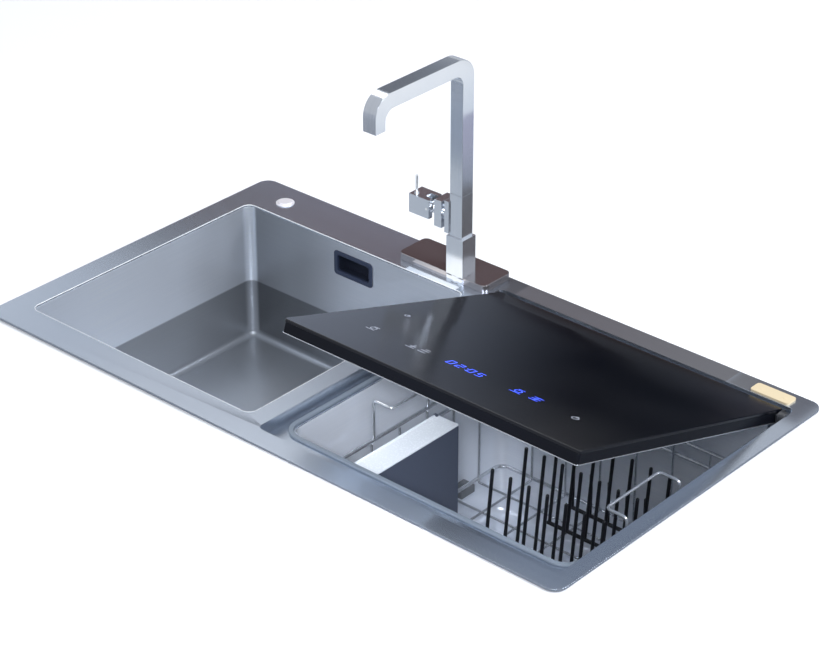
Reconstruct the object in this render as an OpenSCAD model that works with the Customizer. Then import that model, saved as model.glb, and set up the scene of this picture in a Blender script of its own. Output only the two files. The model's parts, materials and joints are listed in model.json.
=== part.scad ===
// Drop-in sink unit: a bowl with a square tap on the left, a top-opening dishwasher on the right.
// The underside of the rim seal, which lies on the worktop, is z = 0. The origin is the deck's plan centre.

/* [Deck] */
// Width of the deck
deck_w = 900; // [880:1:930]
// Depth of the deck, front to back
deck_d = 495; // [485:1:515]
// Thickness of the deck plate
deck_t = 3; // [2:0.5:4]
// Corner radius of the deck
deck_r = 16; // [6:1:24]
// Thickness of the pressed walls of the lid recess
pan_t = 1.2; // [1:0.1:1.6]
// Height of the foam seal under the rim
seal_t = 2; // [1.5:0.5:3]
// Width of the foam seal
seal_w = 12; // [8:1:14]
// Seal's distance from the deck's edge
seal_inset = 4; // [3:0.5:5]

/* [Bowl] */
// Width of the bowl's opening
bowl_w = 380; // [360:1:390]
// Rim to the left of the bowl
bowl_left = 33.5; // [30:0.5:38]
// Rim in front of the bowl
bowl_front = 41.5; // [36:0.5:46]
// Ledge behind the bowl, which carries the tap
back_ledge = 70.5; // [66:0.5:76]
// Depth of the bowl below the deck's top
bowl_depth = 200; // [170:1:220]
// Radius of the bowl's upright corners
bowl_r = 12; // [8:1:20]
// Thickness of the bowl's steel
bowl_wall = 1.2; // [1:0.1:1.6]
// Width of the bowl's flange under the deck
bowl_flange = 8; // [6:1:9]
// Width of the overflow slot
slot_w = 63; // [50:1:70]
// Height of the overflow slot
slot_h = 31; // [24:1:34]
// Middle of the overflow slot below the deck's top
slot_drop = 32; // [30:1:40]
// Thickness of the sound pads on the bowl
pad_t = 3; // [2:0.5:4]

/* [Waste] */
// Radius of the bowl's waste hole
waste_r = 45; // [40:1:48]
// Waste's place, from the bowl's right wall
waste_right = 124; // [110:1:140]
// Waste's place, from the bowl's back wall
waste_back = 125; // [110:1:140]
// Depth of the waste cup
waste_cup_h = 56; // [50:1:64]
// Outer radius of the waste outlet
waste_tail_r = 20; // [16:1:22]
// Length of the waste outlet
waste_tail_h = 45; // [36:1:60]
// Lift of the waste plug
plug_lift = 10; // [8:1:12]
// Travel of the drain button
button_travel = 5; // [4:0.5:6]
// Radius of the drain button
button_r = 9.5; // [8:0.5:11]
// Drain button's place, from the deck's left edge
button_left = 70; // [60:1:90]
// Drain button's place, from the deck's back edge
button_back = 38; // [34:1:40]

/* [Tap] */
// Tap's place to the left of the bowl's right wall
tap_left = 29.5; // [24:0.5:50]
// Tap column's place, from the deck's back edge
tap_back = 45; // [43:1:47]
// Width of the tap's base plate
plate_w = 144; // [120:1:150]
// Depth of the tap's base plate
plate_d = 54; // [50:1:56]
// Height of the tap's base plate
plate_h = 10; // [8:1:12]
// Base plate's left end, from the tap column
plate_left = 96; // [76:1:98]
// Width of the tap's foot block
foot_w = 27; // [25:1:30]
// Depth of the tap's foot block
foot_d = 25; // [24:1:27]
// Height of the tap's foot block
foot_h = 53; // [44:1:54]
// Width of the tap's column and spout
spout_w = 20; // [19:0.5:22]
// Depth of the tap's column
spout_d = 20.5; // [18:0.5:21]
// Height of the spout's top above the deck
spout_top = 308; // [290:1:330]
// Reach of the spout, from the column's middle to the outlet's face
spout_reach = 168; // [160:1:190]
// Height of the outlet above the deck
outlet_z = 262; // [250:1:275]
// Length of the outlet along the reach
outlet_d = 17.5; // [17:0.5:19]
// Radius of the spout's outer bends
bend_r = 28; // [22:1:32]
// Height of the swivel seam above the deck
swivel_z = 122; // [116:1:130]
// Radius of the swivel spigot
spigot_r = 6.5; // [6:0.25:7]
// Height of the mixer's axis above the deck
mixer_z = 88; // [84:1:90]
// Radius of the threaded shank under the deck
shank_r = 13; // [12.5:0.5:14]
// Length of the shank below the deck's top
shank_h = 50; // [45:1:60]

/* [Mixer] */
// Thickness of the mixer's wall plate
flange_t = 7; // [6:0.5:8]
// Height of the mixer's wall plate
flange_h = 44; // [40:1:46]
// Thickness of the mixer's bar
bar_t = 12; // [10:0.5:13]
// Height of the mixer's bar
bar_h = 37; // [34:1:40]
// Length of the neck between wall plate and bar
neck_l = 5; // [4:0.5:6]
// Depth of the mixer's blocks, front to back
block_d = 25; // [24:0.5:27]
// Length of the handle block
handle_l = 33; // [30:1:36]
// Height of the handle block
handle_h = 26; // [24:1:28]
// Gap between the bar and the handle block
handle_gap = 9; // [8:0.5:10]
// Radius of the lever rod
lever_r = 1.6; // [1.4:0.1:2]
// Height of the lever rod above the handle block
lever_h = 25; // [20:1:30]

/* [Lid recess and lid] */
// Bridge between bowl and lid recess
divider_w = 26.5; // [24:0.5:30]
// Rim to the right of the recess
right_rim = 20.5; // [20:0.5:24]
// Rim in front of the recess
recess_front = 27; // [24:1:32]
// Strip behind the recess
back_strip = 30; // [28:1:34]
// Depth of the recess below the deck's top
recess_depth = 17; // [16:0.5:20]
// Corner radius of the recess
recess_r = 8; // [6:1:12]
// Ledge at each side of the tub opening
ledge_side = 15.6; // [15:0.2:18]
// Ledge in front of the tub opening
ledge_front = 37; // [35:1:42]
// Ledge behind the tub opening
ledge_back = 18; // [17:0.5:20]
// Gap at the lid's left end
lid_gap_left = 4; // [3.5:0.5:5]
// Gap at the lid's right end
lid_gap_right = 11; // [10:0.5:12]
// Finger gap in front of the lid
lid_gap_front = 22; // [22:1:26]
// Gap behind the lid
lid_gap_back = 10; // [8:1:11]
// Thickness of the lid's glass
glass_t = 4; // [3:0.5:5]
// Height of the lid's frame
frame_h = 12; // [11:0.5:14]
// Thickness of the lid's inner steel panel
panel_t = 1; // [0.8:0.1:1.2]
// Height of the lid's rubber seal
gasket_h = 3; // [2.5:0.1:3.5]
// Lid's opening angle as drawn
lid_open = 18; // [10:0.5:40]
// Radius of the hinge pins
hinge_r = 3; // [2.5:0.1:3.2]

/* [Dishwasher] */
// Depth of the tub below the ledge
tub_depth = 296; // [270:1:310]
// Corner radius of the tub
tub_r = 18; // [12:1:26]
// Thickness of the tub's steel
tub_wall = 1; // [0.8:0.1:1.4]
// Depth of the casing below the worktop
casing_depth = 440; // [430:1:450]
// Thickness of the casing's steel
casing_t = 1; // [0.8:0.1:1.4]
// Depth of the sump below the tub
sump_h = 88; // [82:1:94]
// Radius of the sump's mouth
sump_r = 62; // [56:1:68]
// Radius of the sump's lower cup
cup_r = 45; // [40:1:48]
// Length of the spray arm
arm_l = 340; // [300:1:350]
// Width of the spray arm
arm_w = 36; // [30:1:42]
// Thickness of the spray arm
arm_t = 12; // [10:1:14]
// Radius of the wash pump's housing
pump_r = 42; // [38:1:44]
// Radius of the drain pump's housing
drain_r = 28; // [25:1:30]
// Outer radius of the drain hose tail
tail_r = 11; // [9:0.5:12]
// Radius of the water inlet's thread
inlet_r = 13.2; // [12:0.1:13.5]
// Travel of the leak float
float_travel = 6; // [4:0.5:8]

/* [Rack] */
// Gap between rack and tub wall
rack_gap = 16.4; // [14:0.2:18]
// Radius of the rack's frame wire
frame_r = 2.5; // [2:0.1:3]
// Radius of the rack's cross wires
wire_r = 1.6; // [1.4:0.1:2]
// Height of the rack's floor above the tub's floor
rack_lift = 83; // [76:1:90]
// Height of the rack's sides
rack_h = 150; // [140:1:155]
// Height of the handles above the rack's rail
grip_h = 55; // [50:1:56]
// Length of the handles
grip_l = 98; // [90:1:110]
// Reach of the handles inwards
grip_in = 29; // [24:1:32]
// Number of cross wires each way
wire_count = 7; // [6:1:9]
// Radius of the coated tines
tine_r = 2.2; // [1.6:0.1:2.2]
// Height of the tall tines
tine_h = 132; // [110:1:140]
// Number of tines in a row
tine_count = 9; // [7:1:10]
// Width of the cutlery box
cutlery_w = 32; // [30:1:36]
// Length of the cutlery box
cutlery_l = 171; // [150:1:180]
// Cutlery box's place, from the rack's left rail
cutlery_left = 42; // [40:1:48]
// Wall of the cutlery box
cutlery_wall = 2; // [1.6:0.1:2.4]

/* [Hidden] */
$fn = 48;
// Shared clearances: overrun of cuts, seat between pieces, running fit, and free space round moving pieces
cut_over = 1;
seat_gap = 0.3;
run_gap = 0.05;
free_gap = 1.5;

// Deck, bowl and recess places
deck_left = -deck_w / 2;
deck_front = -deck_d / 2;
deck_top = seal_t + deck_t;
bowl_x = deck_left + bowl_left;
bowl_y = deck_front + bowl_front;
bowl_d = deck_d - bowl_front - back_ledge;
bowl_floor = deck_top - bowl_depth;
recess_x = bowl_x + bowl_w + divider_w;
recess_y = deck_front + recess_front;
recess_w = -deck_left - right_rim - recess_x;
recess_d = deck_d - recess_front - back_strip;
ledge_z = deck_top - recess_depth;
tub_x = recess_x + ledge_side;
tub_y = recess_y + ledge_front;
tub_w = recess_w - 2 * ledge_side;
tub_d = recess_d - ledge_front - ledge_back;
tub_floor = ledge_z - tub_depth;

// Waste and overflow places
slot_x = bowl_x + bowl_w / 2;
slot_z = deck_top - slot_drop;
slot_r = 5;
waste_x = bowl_x + bowl_w - waste_right;
waste_y = bowl_y + bowl_d - waste_back;
waste_wall = 2;
waste_lip = 6;
lip_t = 1.5;
cup_out = waste_r - seat_gap;
cup_in = cup_out - waste_wall;
cup_foot = bowl_floor - waste_cup_h;
plug_r = cup_in - free_gap;
plug_t = 4;
stem_r = 4;
guide_r = 8;
guide_hold = 2;
guide_h = plug_lift + guide_hold;
port_r = 10;
port_wall = 2;
port_z = cup_foot + port_r + port_wall + waste_wall;
over_side = 4;
over_box_w = slot_w + 2 * over_side;
over_box_h = slot_h + 2 * over_side;
over_box_d = 20;
over_x = slot_x + slot_w / 2 - port_r;
over_y = bowl_y + bowl_d + bowl_wall + over_box_d / 2;
cover_t = 1.5;
cover_lip = 2;
button_x = deck_left + button_left;
button_y = -deck_front - button_back;
sleeve_t = 2;
sleeve_gap = 0.3;
collar_w = 3;
collar_t = 1.2;
button_proud = 3;
button_stem_l = 14;
works_floor = 6;
works_room = 5;
works_h = works_floor + button_travel + works_room;

// Tap places
tap_x = bowl_x + bowl_w - tap_left;
tap_y = -deck_front - tap_back;
plate_x = tap_x - plate_left;
plate_back = 2;
plate_y = -deck_front - plate_back - plate_d;
plate_r = 8;
plate_top = deck_top + plate_h;
foot_top = plate_top + foot_h;
seam_z = deck_top + swivel_z;
seam_gap = 0.4;
spout_z = deck_top + spout_top;
spigot_h = 18;
mixer_h = deck_top + mixer_z;
flange_x = tap_x - spout_w / 2 - flange_t;
bar_x = flange_x - neck_l - bar_t;
neck_r = 9;
cartridge_r = 8;
spindle_r = 3;
spindle_l = 9;
collar_r = 6.5;
handle_x = bar_x - handle_gap - handle_l;
pivot_in = 4;
pivot_x = handle_x + handle_l - pivot_in;
tongue_w = 10;
tongue_r = 6;
tongue_gap = 0.5;
pin_r = 2;
lever_foot_r = 3;
lever_foot_h = 2;
lever_in = 6;
lever_side = 4;
nut_r = 18;
nut_h = 8;
tap_washer_t = 3;
supply_r = 4.5;
supply_h = 15;
supply_x = 6;
shank_hole_gap = 1;
aerator_r = 6.5;
aerator_h = 12;

// Lid places, as closed; the lid is then turned open about the hinge
lid_x = recess_x + lid_gap_left;
lid_y = recess_y + lid_gap_front;
lid_w = recess_w - lid_gap_left - lid_gap_right;
lid_d = recess_d - lid_gap_front - lid_gap_back;
lid_z = ledge_z + gasket_h + seat_gap;
lid_r = 4;
frame_z = lid_z + panel_t;
glass_z = frame_z + frame_h;
frame_wall = 3;
frame_inset = 0.6;
hinge_in = 7;
hinge_y = lid_y + lid_d - hinge_in;
hinge_up = 1;
hinge_z = frame_z + frame_h / 2 + hinge_up;
lid_chamfer = 5;
boss_l = 13;
boss_d = 16;
board_t = 2;
board_d = 36;
board_front = 66;
board_side = 40;
icon_pad_h = 3;
pad_count = 7;
gasket_w = 6;
gasket_in = 3;
bracket_t = 2.5;
bracket_d = 18;
bracket_rise = 7;
bracket_foot = 5;
cover_w = 54;
cover_d = 19;
cover_h = 2.5;
cover_side = 11;
cover_screw_r = 2.4;

// Dishwasher places
tub_flange = 7;
ledge_under = ledge_z - pan_t;
tub_mid_x = tub_x + tub_w / 2;
tub_mid_y = tub_y + tub_d / 2;
casing_side = 1;
casing_x = recess_x + casing_side;
casing_y = recess_y + casing_side;
casing_w = recess_w - 2 * casing_side;
casing_d = recess_d - 2 * casing_side;
casing_foot = -casing_depth;
tray_h = 16;
tray_t = 1.5;
tray_in = casing_t + seat_gap;
sump_wall = 2.5;
sump_step = 26;
sump_lip = 8;
sump_foot = tub_floor - sump_h;
port_l = 28;
filter_t = 2;
filter_cup_r = 26;
filter_cup_h = 60;
filter_hole_r = 3;
filter_ring_share = 0.78;
hub_r = 12;
hub_rise = 30;
hub_pin_r = 6;
hub_pin_h = 20;
arm_z = tub_floor + hub_rise + seat_gap;
nozzle_r = 2.5;
nozzle_h = 2;
nozzle_shares = [0.3, 0.5, 0.68, 0.84, 0.94];
axis_rise = 24;
axis_z = sump_foot + axis_rise;
pipe_r = 13;
pipe_wall = 2.5;
pump_x = tub_mid_x + sump_r + port_l;
pump_l = 30;
pump_wall = 3;
impeller_r = pump_r - pump_wall - free_gap;
impeller_t = 12;
shaft_r = 4;
shaft_l = 14;
motor_step = 6;
motor_r = pump_r - motor_step;
motor_l = 74;
fin_count = 10;
fin_t = 2;
blade_count = 6;
blade_t = 2;
heater_r = 18;
heater_l = 96;
heater_pin_r = 2.5;
heater_pin_l = 10;
heater_side = 28;
feed_bend = 16;
heater_y = tub_mid_y + pump_r + heater_r + heater_side;
feed_z = axis_z + pump_r - pipe_r;
feed_out_x = pump_x + pump_l / 2;
heater_x = feed_out_x - feed_bend - seat_gap - heater_l;
feed_in_x = heater_x - seat_gap - feed_bend;
feed_port_y = tub_mid_y + sump_r + 2 * pipe_wall;
drain_x = tub_mid_x - sump_r - port_l;
drain_l = 24;
drain_motor_r = drain_r - motor_step;
drain_motor_l = 40;
tail_z = axis_z;
tail_x = drain_x - drain_l / 2;
tail_l = 26;
collar_out = 1;
tail_wall = 2;
tail_bore_r = tail_r - tail_wall;
inlet_side = 60;
inlet_drop = 60;
inlet_x = casing_x + casing_w - inlet_side;
inlet_z = tub_floor - inlet_drop;
inlet_l = 16;
inlet_block = 34;
fill_r = 4;
float_side = 70;
float_front = 60;
float_x = casing_x + casing_w - float_side;
float_y = casing_y + float_front;
float_r = 15;
float_h = 12;
float_stem_r = 3;
float_stem_h = 34;
guide_t = 2;
box_side = 14;
box_front = 16;
box_x = casing_x + box_side;
box_y = casing_y + box_front;
box_w = 120;
box_mid_gap = 21.5;
box_d = tub_mid_y - box_mid_gap - box_y;
box_h = 46;
box_wall = 2;
box_z = casing_foot + tray_t;
vent_count = 5;
part_shares = [0.2, 0.5, 0.8];
pillar_shares = [0.25, 0.75];
relay_share = 0.33;
coil_share = 0.67;
gland_side = 30;
gland_rise = 36;
gland_x = casing_x + gland_side;
gland_z = casing_foot + gland_rise;
gland_r = 9;
gland_bore_r = 4;
gland_l = 14;
gland_nut_r = 12;
gland_nut_l = 6;

// Rack places
rack_x = tub_x + rack_gap;
rack_y = tub_y + rack_gap;
rack_w = tub_w - 2 * rack_gap;
rack_d = tub_d - 2 * rack_gap;
rack_z = tub_floor + rack_lift;
rail_z = rack_z + rack_h;
grip_shift = 17.5;
grip_y = tub_mid_y - grip_l / 2 - grip_shift;
weld_in = 0.6;
cross_z = rack_z;
corner_r = 14;
grip_r = frame_r - weld_in;
bend_inside = 0.9;
wire_bend = wire_r + bend_inside;
grip_bend = 6;
mid_share = 0.86;
tine_foot_t = 0.4;
tine_foot_r = tine_r + tine_foot_t;
tine_rows_share = [0.44, 0.62, 0.80];
tine_start_share = 0.36;
tine_end_share = 0.95;
tine_lean = 6;
stub_row_share = 0.93;
stub_h_share = 0.45;
rest_w = 26;
rest_h = 12;
rest_share = 0.22;
cutlery_x = rack_x + cutlery_left;
post_in = frame_r + seat_gap + wire_r;
cutlery_y = rack_y + post_in + wire_r + seat_gap;
cutlery_floor = cross_z + wire_r + seat_gap;
cutlery_rise = 20;
cutlery_top = rail_z + cutlery_rise;
lid_plate_t = 2;
barrel_r = 2;
barrel_x = cutlery_x - barrel_r - seat_gap;
ear_t = 4;
ear_pin_r = 1.4;
ear_h = 8;
ear_notch = 1.4;

// Clips that pull the rim down onto the worktop
clip_w = 30;
clip_h = 26;
clip_t = 2;
clip_arm = 14;
clip_z = -34;
clip_screw_r = 2.5;
clip_shares = [0.2, 0.8];
screw_shares = [0.2, 0.8];
screw_head_h = 0.5;
pad_z_share = 0.2;

// A rectangle with round corners, its near-left corner at the origin
module rounded(w, d, r) {
    translate([r, 0]) square([w - 2 * r, d]);
    translate([0, r]) square([w, d - 2 * r]);
    for (x = [r, w - r], y = [r, d - r]) translate([x, y]) circle(r);
}

// A plate with round corners
module slab(x, y, z, w, d, h, r) {
    translate([x, y, z]) linear_extrude(h) rounded(w, d, r);
}

// A plain block
module block(x, y, z, w, d, h) {
    translate([x, y, z]) cube([w, d, h]);
}

// A round rod along X, Y or Z from a point
module rod_x(x, y, z, l, r) {
    translate([x, y, z]) rotate([0, 90, 0]) cylinder(h = l, r = r);
}

module rod_y(x, y, z, l, r) {
    translate([x, y, z]) rotate([-90, 0, 0]) cylinder(h = l, r = r);
}

module rod_z(x, y, z, l, r) {
    translate([x, y, z]) cylinder(h = l, r = r);
}

// A four-sided band: outer rounded rectangle less an inner one set in by t
module band(x, y, z, w, d, h, r, t) {
    difference() {
        slab(x, y, z, w, d, h, r);
        slab(x + t, y + t, z - cut_over, w - 2 * t, d - 2 * t, h + 2 * cut_over, max(r - t, r / 4));
    }
}

// Turns what is drawn for the closed lid to its open place
module opened() {
    translate([0, hinge_y, hinge_z]) rotate([-lid_open, 0, 0]) translate([0, -hinge_y, -hinge_z]) children();
}

module deck() {
    color("silver") difference() {
        union() {
            slab(deck_left, deck_front, seal_t, deck_w, deck_d, deck_t, deck_r);
            slab(recess_x - pan_t, recess_y - pan_t, ledge_under, recess_w + 2 * pan_t,
                recess_d + 2 * pan_t, seal_t - ledge_under + deck_t / 2, recess_r + pan_t);
        }
        slab(bowl_x, bowl_y, -cut_over, bowl_w, bowl_d, deck_top + 2 * cut_over, bowl_r);
        slab(recess_x, recess_y, ledge_z, recess_w, recess_d, recess_depth + cut_over, recess_r);
        slab(tub_x, tub_y, ledge_under - cut_over, tub_w, tub_d, pan_t + 2 * cut_over, tub_r);
        rod_z(tap_x, tap_y, 0, deck_top + cut_over, shank_r + shank_hole_gap);
        rod_z(button_x, button_y, 0, deck_top + cut_over, button_r + sleeve_t);
    }
}

module rim_seal() {
    color("dimgray") band(deck_left + seal_inset, deck_front + seal_inset, 0, deck_w - 2 * seal_inset,
        deck_d - 2 * seal_inset, seal_t, deck_r - seal_inset / 2, seal_w);
}

module sink_bowl() {
    color("lightsteelblue") difference() {
        union() {
            slab(bowl_x - bowl_wall, bowl_y - bowl_wall, bowl_floor - bowl_wall, bowl_w + 2 * bowl_wall,
                bowl_d + 2 * bowl_wall, seal_t - bowl_floor + bowl_wall, bowl_r + bowl_wall);
            slab(bowl_x - bowl_flange, bowl_y - bowl_flange, seal_t - bowl_wall, bowl_w + 2 * bowl_flange,
                bowl_d + 2 * bowl_flange, bowl_wall, bowl_r + bowl_flange);
        }
        slab(bowl_x, bowl_y, bowl_floor, bowl_w, bowl_d, bowl_depth, bowl_r);
        rod_z(waste_x, waste_y, bowl_floor - bowl_wall - cut_over, bowl_wall + 2 * cut_over, waste_r);
        translate([slot_x - slot_w / 2, bowl_y + bowl_d + bowl_wall + cut_over, slot_z - slot_h / 2])
            rotate([90, 0, 0]) linear_extrude(bowl_wall + 2 * cut_over) rounded(slot_w, slot_h, slot_r);
    }
}

// Rubber pads glued to the bowl's sides and floor
module bowl_pads() {
    pad_w = bowl_w / 2;
    pad_h = bowl_depth / 2;
    pad_z = bowl_floor + pad_z_share * bowl_depth;
    color("darkslategray") {
        block(bowl_x + pad_w / 2, bowl_y - bowl_wall - pad_t, pad_z, pad_w, pad_t, pad_h);
        block(bowl_x - bowl_wall - pad_t, bowl_y + pad_w / 2, pad_z, pad_t, pad_w, pad_h);
        block(bowl_x + waste_r, bowl_y + waste_r, bowl_floor - bowl_wall - pad_t, pad_w / 2, pad_w, pad_t);
    }
}

// Dark frame pressed into the overflow slot
module overflow_cover() {
    hole_w = slot_w - 4 * cover_lip;
    hole_h = slot_h - 4 * cover_lip;
    color("black") translate([slot_x, bowl_y + bowl_d, slot_z]) rotate([90, 0, 0]) difference() {
        union() {
            translate([-slot_w / 2 - cover_lip, -slot_h / 2 - cover_lip])
                linear_extrude(cover_t) rounded(slot_w + 2 * cover_lip, slot_h + 2 * cover_lip, slot_r);
            translate([-slot_w / 2 + seat_gap, -slot_h / 2 + seat_gap, -bowl_wall - cover_t])
                linear_extrude(bowl_wall + 2 * cover_t)
                rounded(slot_w - 2 * seat_gap, slot_h - 2 * seat_gap, slot_r);
        }
        translate([-hole_w / 2, -hole_h / 2, -bowl_wall - cover_t - cut_over])
            linear_extrude(bowl_wall + 3 * cover_t + 2 * cut_over) rounded(hole_w, hole_h, slot_r / 2);
    }
}

// Run of the overflow pipe: down behind the bowl, then below it to the waste cup
module overflow_run(r) {
    port_y = waste_y + cup_out + seat_gap;
    turn_y = port_y + port_r + waste_wall;
    rod_z(over_x, over_y, port_z, slot_z - port_z, r);
    translate([over_x, over_y, port_z]) sphere(r);
    rod_y(over_x, turn_y, port_z, over_y - turn_y, r);
    translate([over_x, turn_y, port_z]) sphere(r);
    rod_x(over_x, turn_y, port_z, waste_x - over_x, r);
    translate([waste_x, turn_y, port_z]) sphere(r);
}

// Box behind the overflow slot, with its pipe
module overflow_pipe() {
    wall_y = bowl_y + bowl_d + bowl_wall;
    port_y = waste_y + cup_out + seat_gap;
    color("whitesmoke") difference() {
        union() {
            block(slot_x - over_box_w / 2, wall_y, slot_z - over_box_h / 2, over_box_w, over_box_d,
                over_box_h);
            overflow_run(port_r);
            rod_y(waste_x, port_y, port_z, port_r + waste_wall, port_r);
        }
        block(slot_x - slot_w / 2, wall_y - cut_over, slot_z - slot_h / 2, slot_w,
            over_box_d - port_wall + cut_over, slot_h);
        overflow_run(port_r - port_wall);
        rod_y(waste_x, port_y - cut_over, port_z, port_r + waste_wall + cut_over, port_r - port_wall);
    }
}

// Waste cup with its lip on the bowl's floor and a guide for the plug's stem
module waste_body() {
    color("gainsboro") difference() {
        union() {
            rod_z(waste_x, waste_y, bowl_floor, lip_t, waste_r + waste_lip);
            rod_z(waste_x, waste_y, cup_foot, waste_cup_h, cup_out);
        }
        difference() {
            rod_z(waste_x, waste_y, cup_foot + waste_wall, waste_cup_h + lip_t, cup_in);
            rod_z(waste_x, waste_y, cup_foot, guide_h + waste_wall, guide_r);
            block(waste_x - cup_out, waste_y - waste_wall, cup_foot, 2 * cup_out, 2 * waste_wall, guide_h);
        }
        rod_z(waste_x, waste_y, cup_foot + waste_wall, guide_h + waste_wall, stem_r + run_gap);
        for (a = [45:90:315]) translate([waste_x, waste_y, cup_foot]) rotate([0, 0, a])
            rod_z(guide_r + waste_wall, 0, -cut_over, waste_wall + 2 * cut_over, stem_r / 2);
        rod_y(waste_x, waste_y + cup_in - waste_wall, port_z, 3 * waste_wall, port_r - port_wall);
    }
}

// Plug with its stem, closed on the waste's lip
module waste_plug() {
    color("silver") {
        rod_z(waste_x, waste_y, bowl_floor - plug_t / 2, plug_t, plug_r);
        rod_z(waste_x, waste_y, cup_foot + waste_wall + seat_gap, waste_cup_h - plug_t, stem_r);
        for (a = [0:60:300]) translate([waste_x, waste_y, bowl_floor - plug_t / 2]) rotate([0, 0, a])
            block(stem_r - cut_over, -waste_wall / 2, -plug_t, plug_r - stem_r, waste_wall, plug_t);
    }
}

// Outlet under the waste cup
module waste_tail() {
    color("whitesmoke") difference() {
        union() {
            rod_z(waste_x, waste_y, cup_foot - waste_wall, waste_wall, waste_tail_r + 2 * waste_wall);
            rod_z(waste_x, waste_y, cup_foot - waste_tail_h, waste_tail_h, waste_tail_r);
        }
        rod_z(waste_x, waste_y, cup_foot - waste_tail_h - cut_over, waste_tail_h + 2 * cut_over,
            waste_tail_r - waste_wall);
    }
}

module drain_button() {
    color("white") {
        rod_z(button_x, button_y, seal_t, deck_t + button_proud, button_r - run_gap);
        rod_z(button_x, button_y, seal_t - button_stem_l, button_stem_l, stem_r);
    }
}

// Sleeve through the deck, with its collar on top and its works below
module drain_actuator() {
    works_z = seal_t - works_h;
    color("gray") difference() {
        union() {
            rod_z(button_x, button_y, deck_top, collar_t, button_r + collar_w);
            rod_z(button_x, button_y, works_z, works_h + deck_t, button_r + sleeve_t - sleeve_gap);
            rod_z(button_x, button_y, works_z, works_h, button_r + collar_w);
        }
        rod_z(button_x, button_y, works_z + works_floor, works_h + deck_t + collar_t, button_r);
        rod_z(button_x, button_y, works_z - cut_over, works_h, stem_r + run_gap);
    }
}

module tap_plate() {
    color("silver") difference() {
        slab(plate_x, plate_y, deck_top, plate_w, plate_d, plate_h, plate_r);
        rod_z(tap_x, tap_y, deck_top - cut_over, plate_h + 2 * cut_over, shank_r + shank_hole_gap);
    }
}

// Foot block, fixed column and threaded shank with the two supply ports
module tap_body() {
    shank_z = deck_top - shank_h;
    color("lightgray") difference() {
        union() {
            block(tap_x - foot_w / 2, tap_y - foot_d / 2, plate_top, foot_w, foot_d, foot_h);
            block(tap_x - spout_w / 2, tap_y - spout_d / 2, foot_top, spout_w, spout_d, seam_z - foot_top);
            rod_z(tap_x, tap_y, shank_z, plate_top - shank_z, shank_r);
        }
        rod_z(tap_x, tap_y, seam_z - spigot_h - seam_gap, spigot_h + seam_gap + cut_over,
            spigot_r + run_gap);
        for (s = [-1, 1])
            rod_z(tap_x + s * supply_x, tap_y, shank_z - cut_over, supply_h + cut_over, supply_r);
    }
}

// Rubber washer and nut that clamp the shank under the deck
module tap_nut() {
    nut_z = seal_t - tap_washer_t - nut_h;
    color("goldenrod") difference() {
        union() {
            rod_z(tap_x, tap_y, seal_t - tap_washer_t, tap_washer_t, nut_r);
            translate([tap_x, tap_y, nut_z]) cylinder(h = nut_h, r = nut_r, $fn = 6);
        }
        rod_z(tap_x, tap_y, nut_z - cut_over, nut_h + tap_washer_t + 2 * cut_over, shank_r + run_gap);
    }
}

// Side view of the spout: a rounded arch, cut off at the swivel seam and at the outlet
module spout_outline() {
    arch_l = spout_reach + spout_d / 2;
    inner_l = arch_l - spout_d - outlet_d;
    inner_h = spout_z - seam_z - spout_d;
    difference() {
        translate([-spout_reach, seam_z - bend_r]) rounded(arch_l, spout_z - seam_z + bend_r, bend_r);
        translate([-spout_reach + outlet_d, seam_z - 2 * bend_r])
            rounded(inner_l, inner_h + 2 * bend_r, bend_r - spout_d * 2 / 3);
        translate([-spout_reach - cut_over, seam_z - bend_r - cut_over])
            square([outlet_d + 2 * cut_over, deck_top + outlet_z - seam_z + bend_r + cut_over]);
        translate([-spout_d, seam_z - bend_r - cut_over])
            square([2 * spout_d, bend_r + cut_over + seam_gap]);
    }
}

// Spout that swivels on the column
module tap_spout() {
    out_y = tap_y - spout_reach + outlet_d / 2;
    color("lightgray") difference() {
        union() {
            translate([tap_x - spout_w / 2, tap_y, 0]) rotate([90, 0, 90])
                linear_extrude(spout_w) spout_outline();
            rod_z(tap_x, tap_y, seam_z - spigot_h, spigot_h + 2 * seam_gap, spigot_r);
        }
        rod_z(tap_x, out_y, deck_top + outlet_z - cut_over, aerator_h + cut_over + seat_gap,
            aerator_r + run_gap);
    }
}

module tap_aerator() {
    out_y = tap_y - spout_reach + outlet_d / 2;
    color("darkgray") difference() {
        rod_z(tap_x, out_y, deck_top + outlet_z, aerator_h, aerator_r);
        for (a = [0:60:300]) translate([tap_x, out_y, 0]) rotate([0, 0, a])
            rod_z(aerator_r / 2, 0, deck_top + outlet_z - cut_over, aerator_h / 2 + cut_over, aerator_r / 6);
    }
}

// Plate and neck on the side of the column
module mixer_flange() {
    color("silver") difference() {
        union() {
            block(flange_x, tap_y - block_d / 2, mixer_h - flange_h / 2, flange_t, block_d, flange_h);
            rod_x(flange_x - neck_l, tap_y, mixer_h, neck_l, neck_r + free_gap);
        }
        rod_x(flange_x - neck_l - cut_over, tap_y, mixer_h, neck_l + flange_t - pin_r,
            cartridge_r + run_gap);
    }
}

module mixer_bar() {
    color("silver") difference() {
        block(bar_x, tap_y - block_d / 2, mixer_h - bar_h / 2, bar_t, block_d, bar_h);
        rod_x(bar_x - cut_over, tap_y, mixer_h, bar_t + 2 * cut_over, cartridge_r + run_gap);
    }
}

module mixer_cartridge() {
    color("whitesmoke") difference() {
        rod_x(bar_x + seat_gap, tap_y, mixer_h, bar_t + neck_l + pin_r, cartridge_r);
        rod_x(bar_x - cut_over, tap_y, mixer_h, spindle_l + cut_over, spindle_r + run_gap);
    }
}

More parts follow.
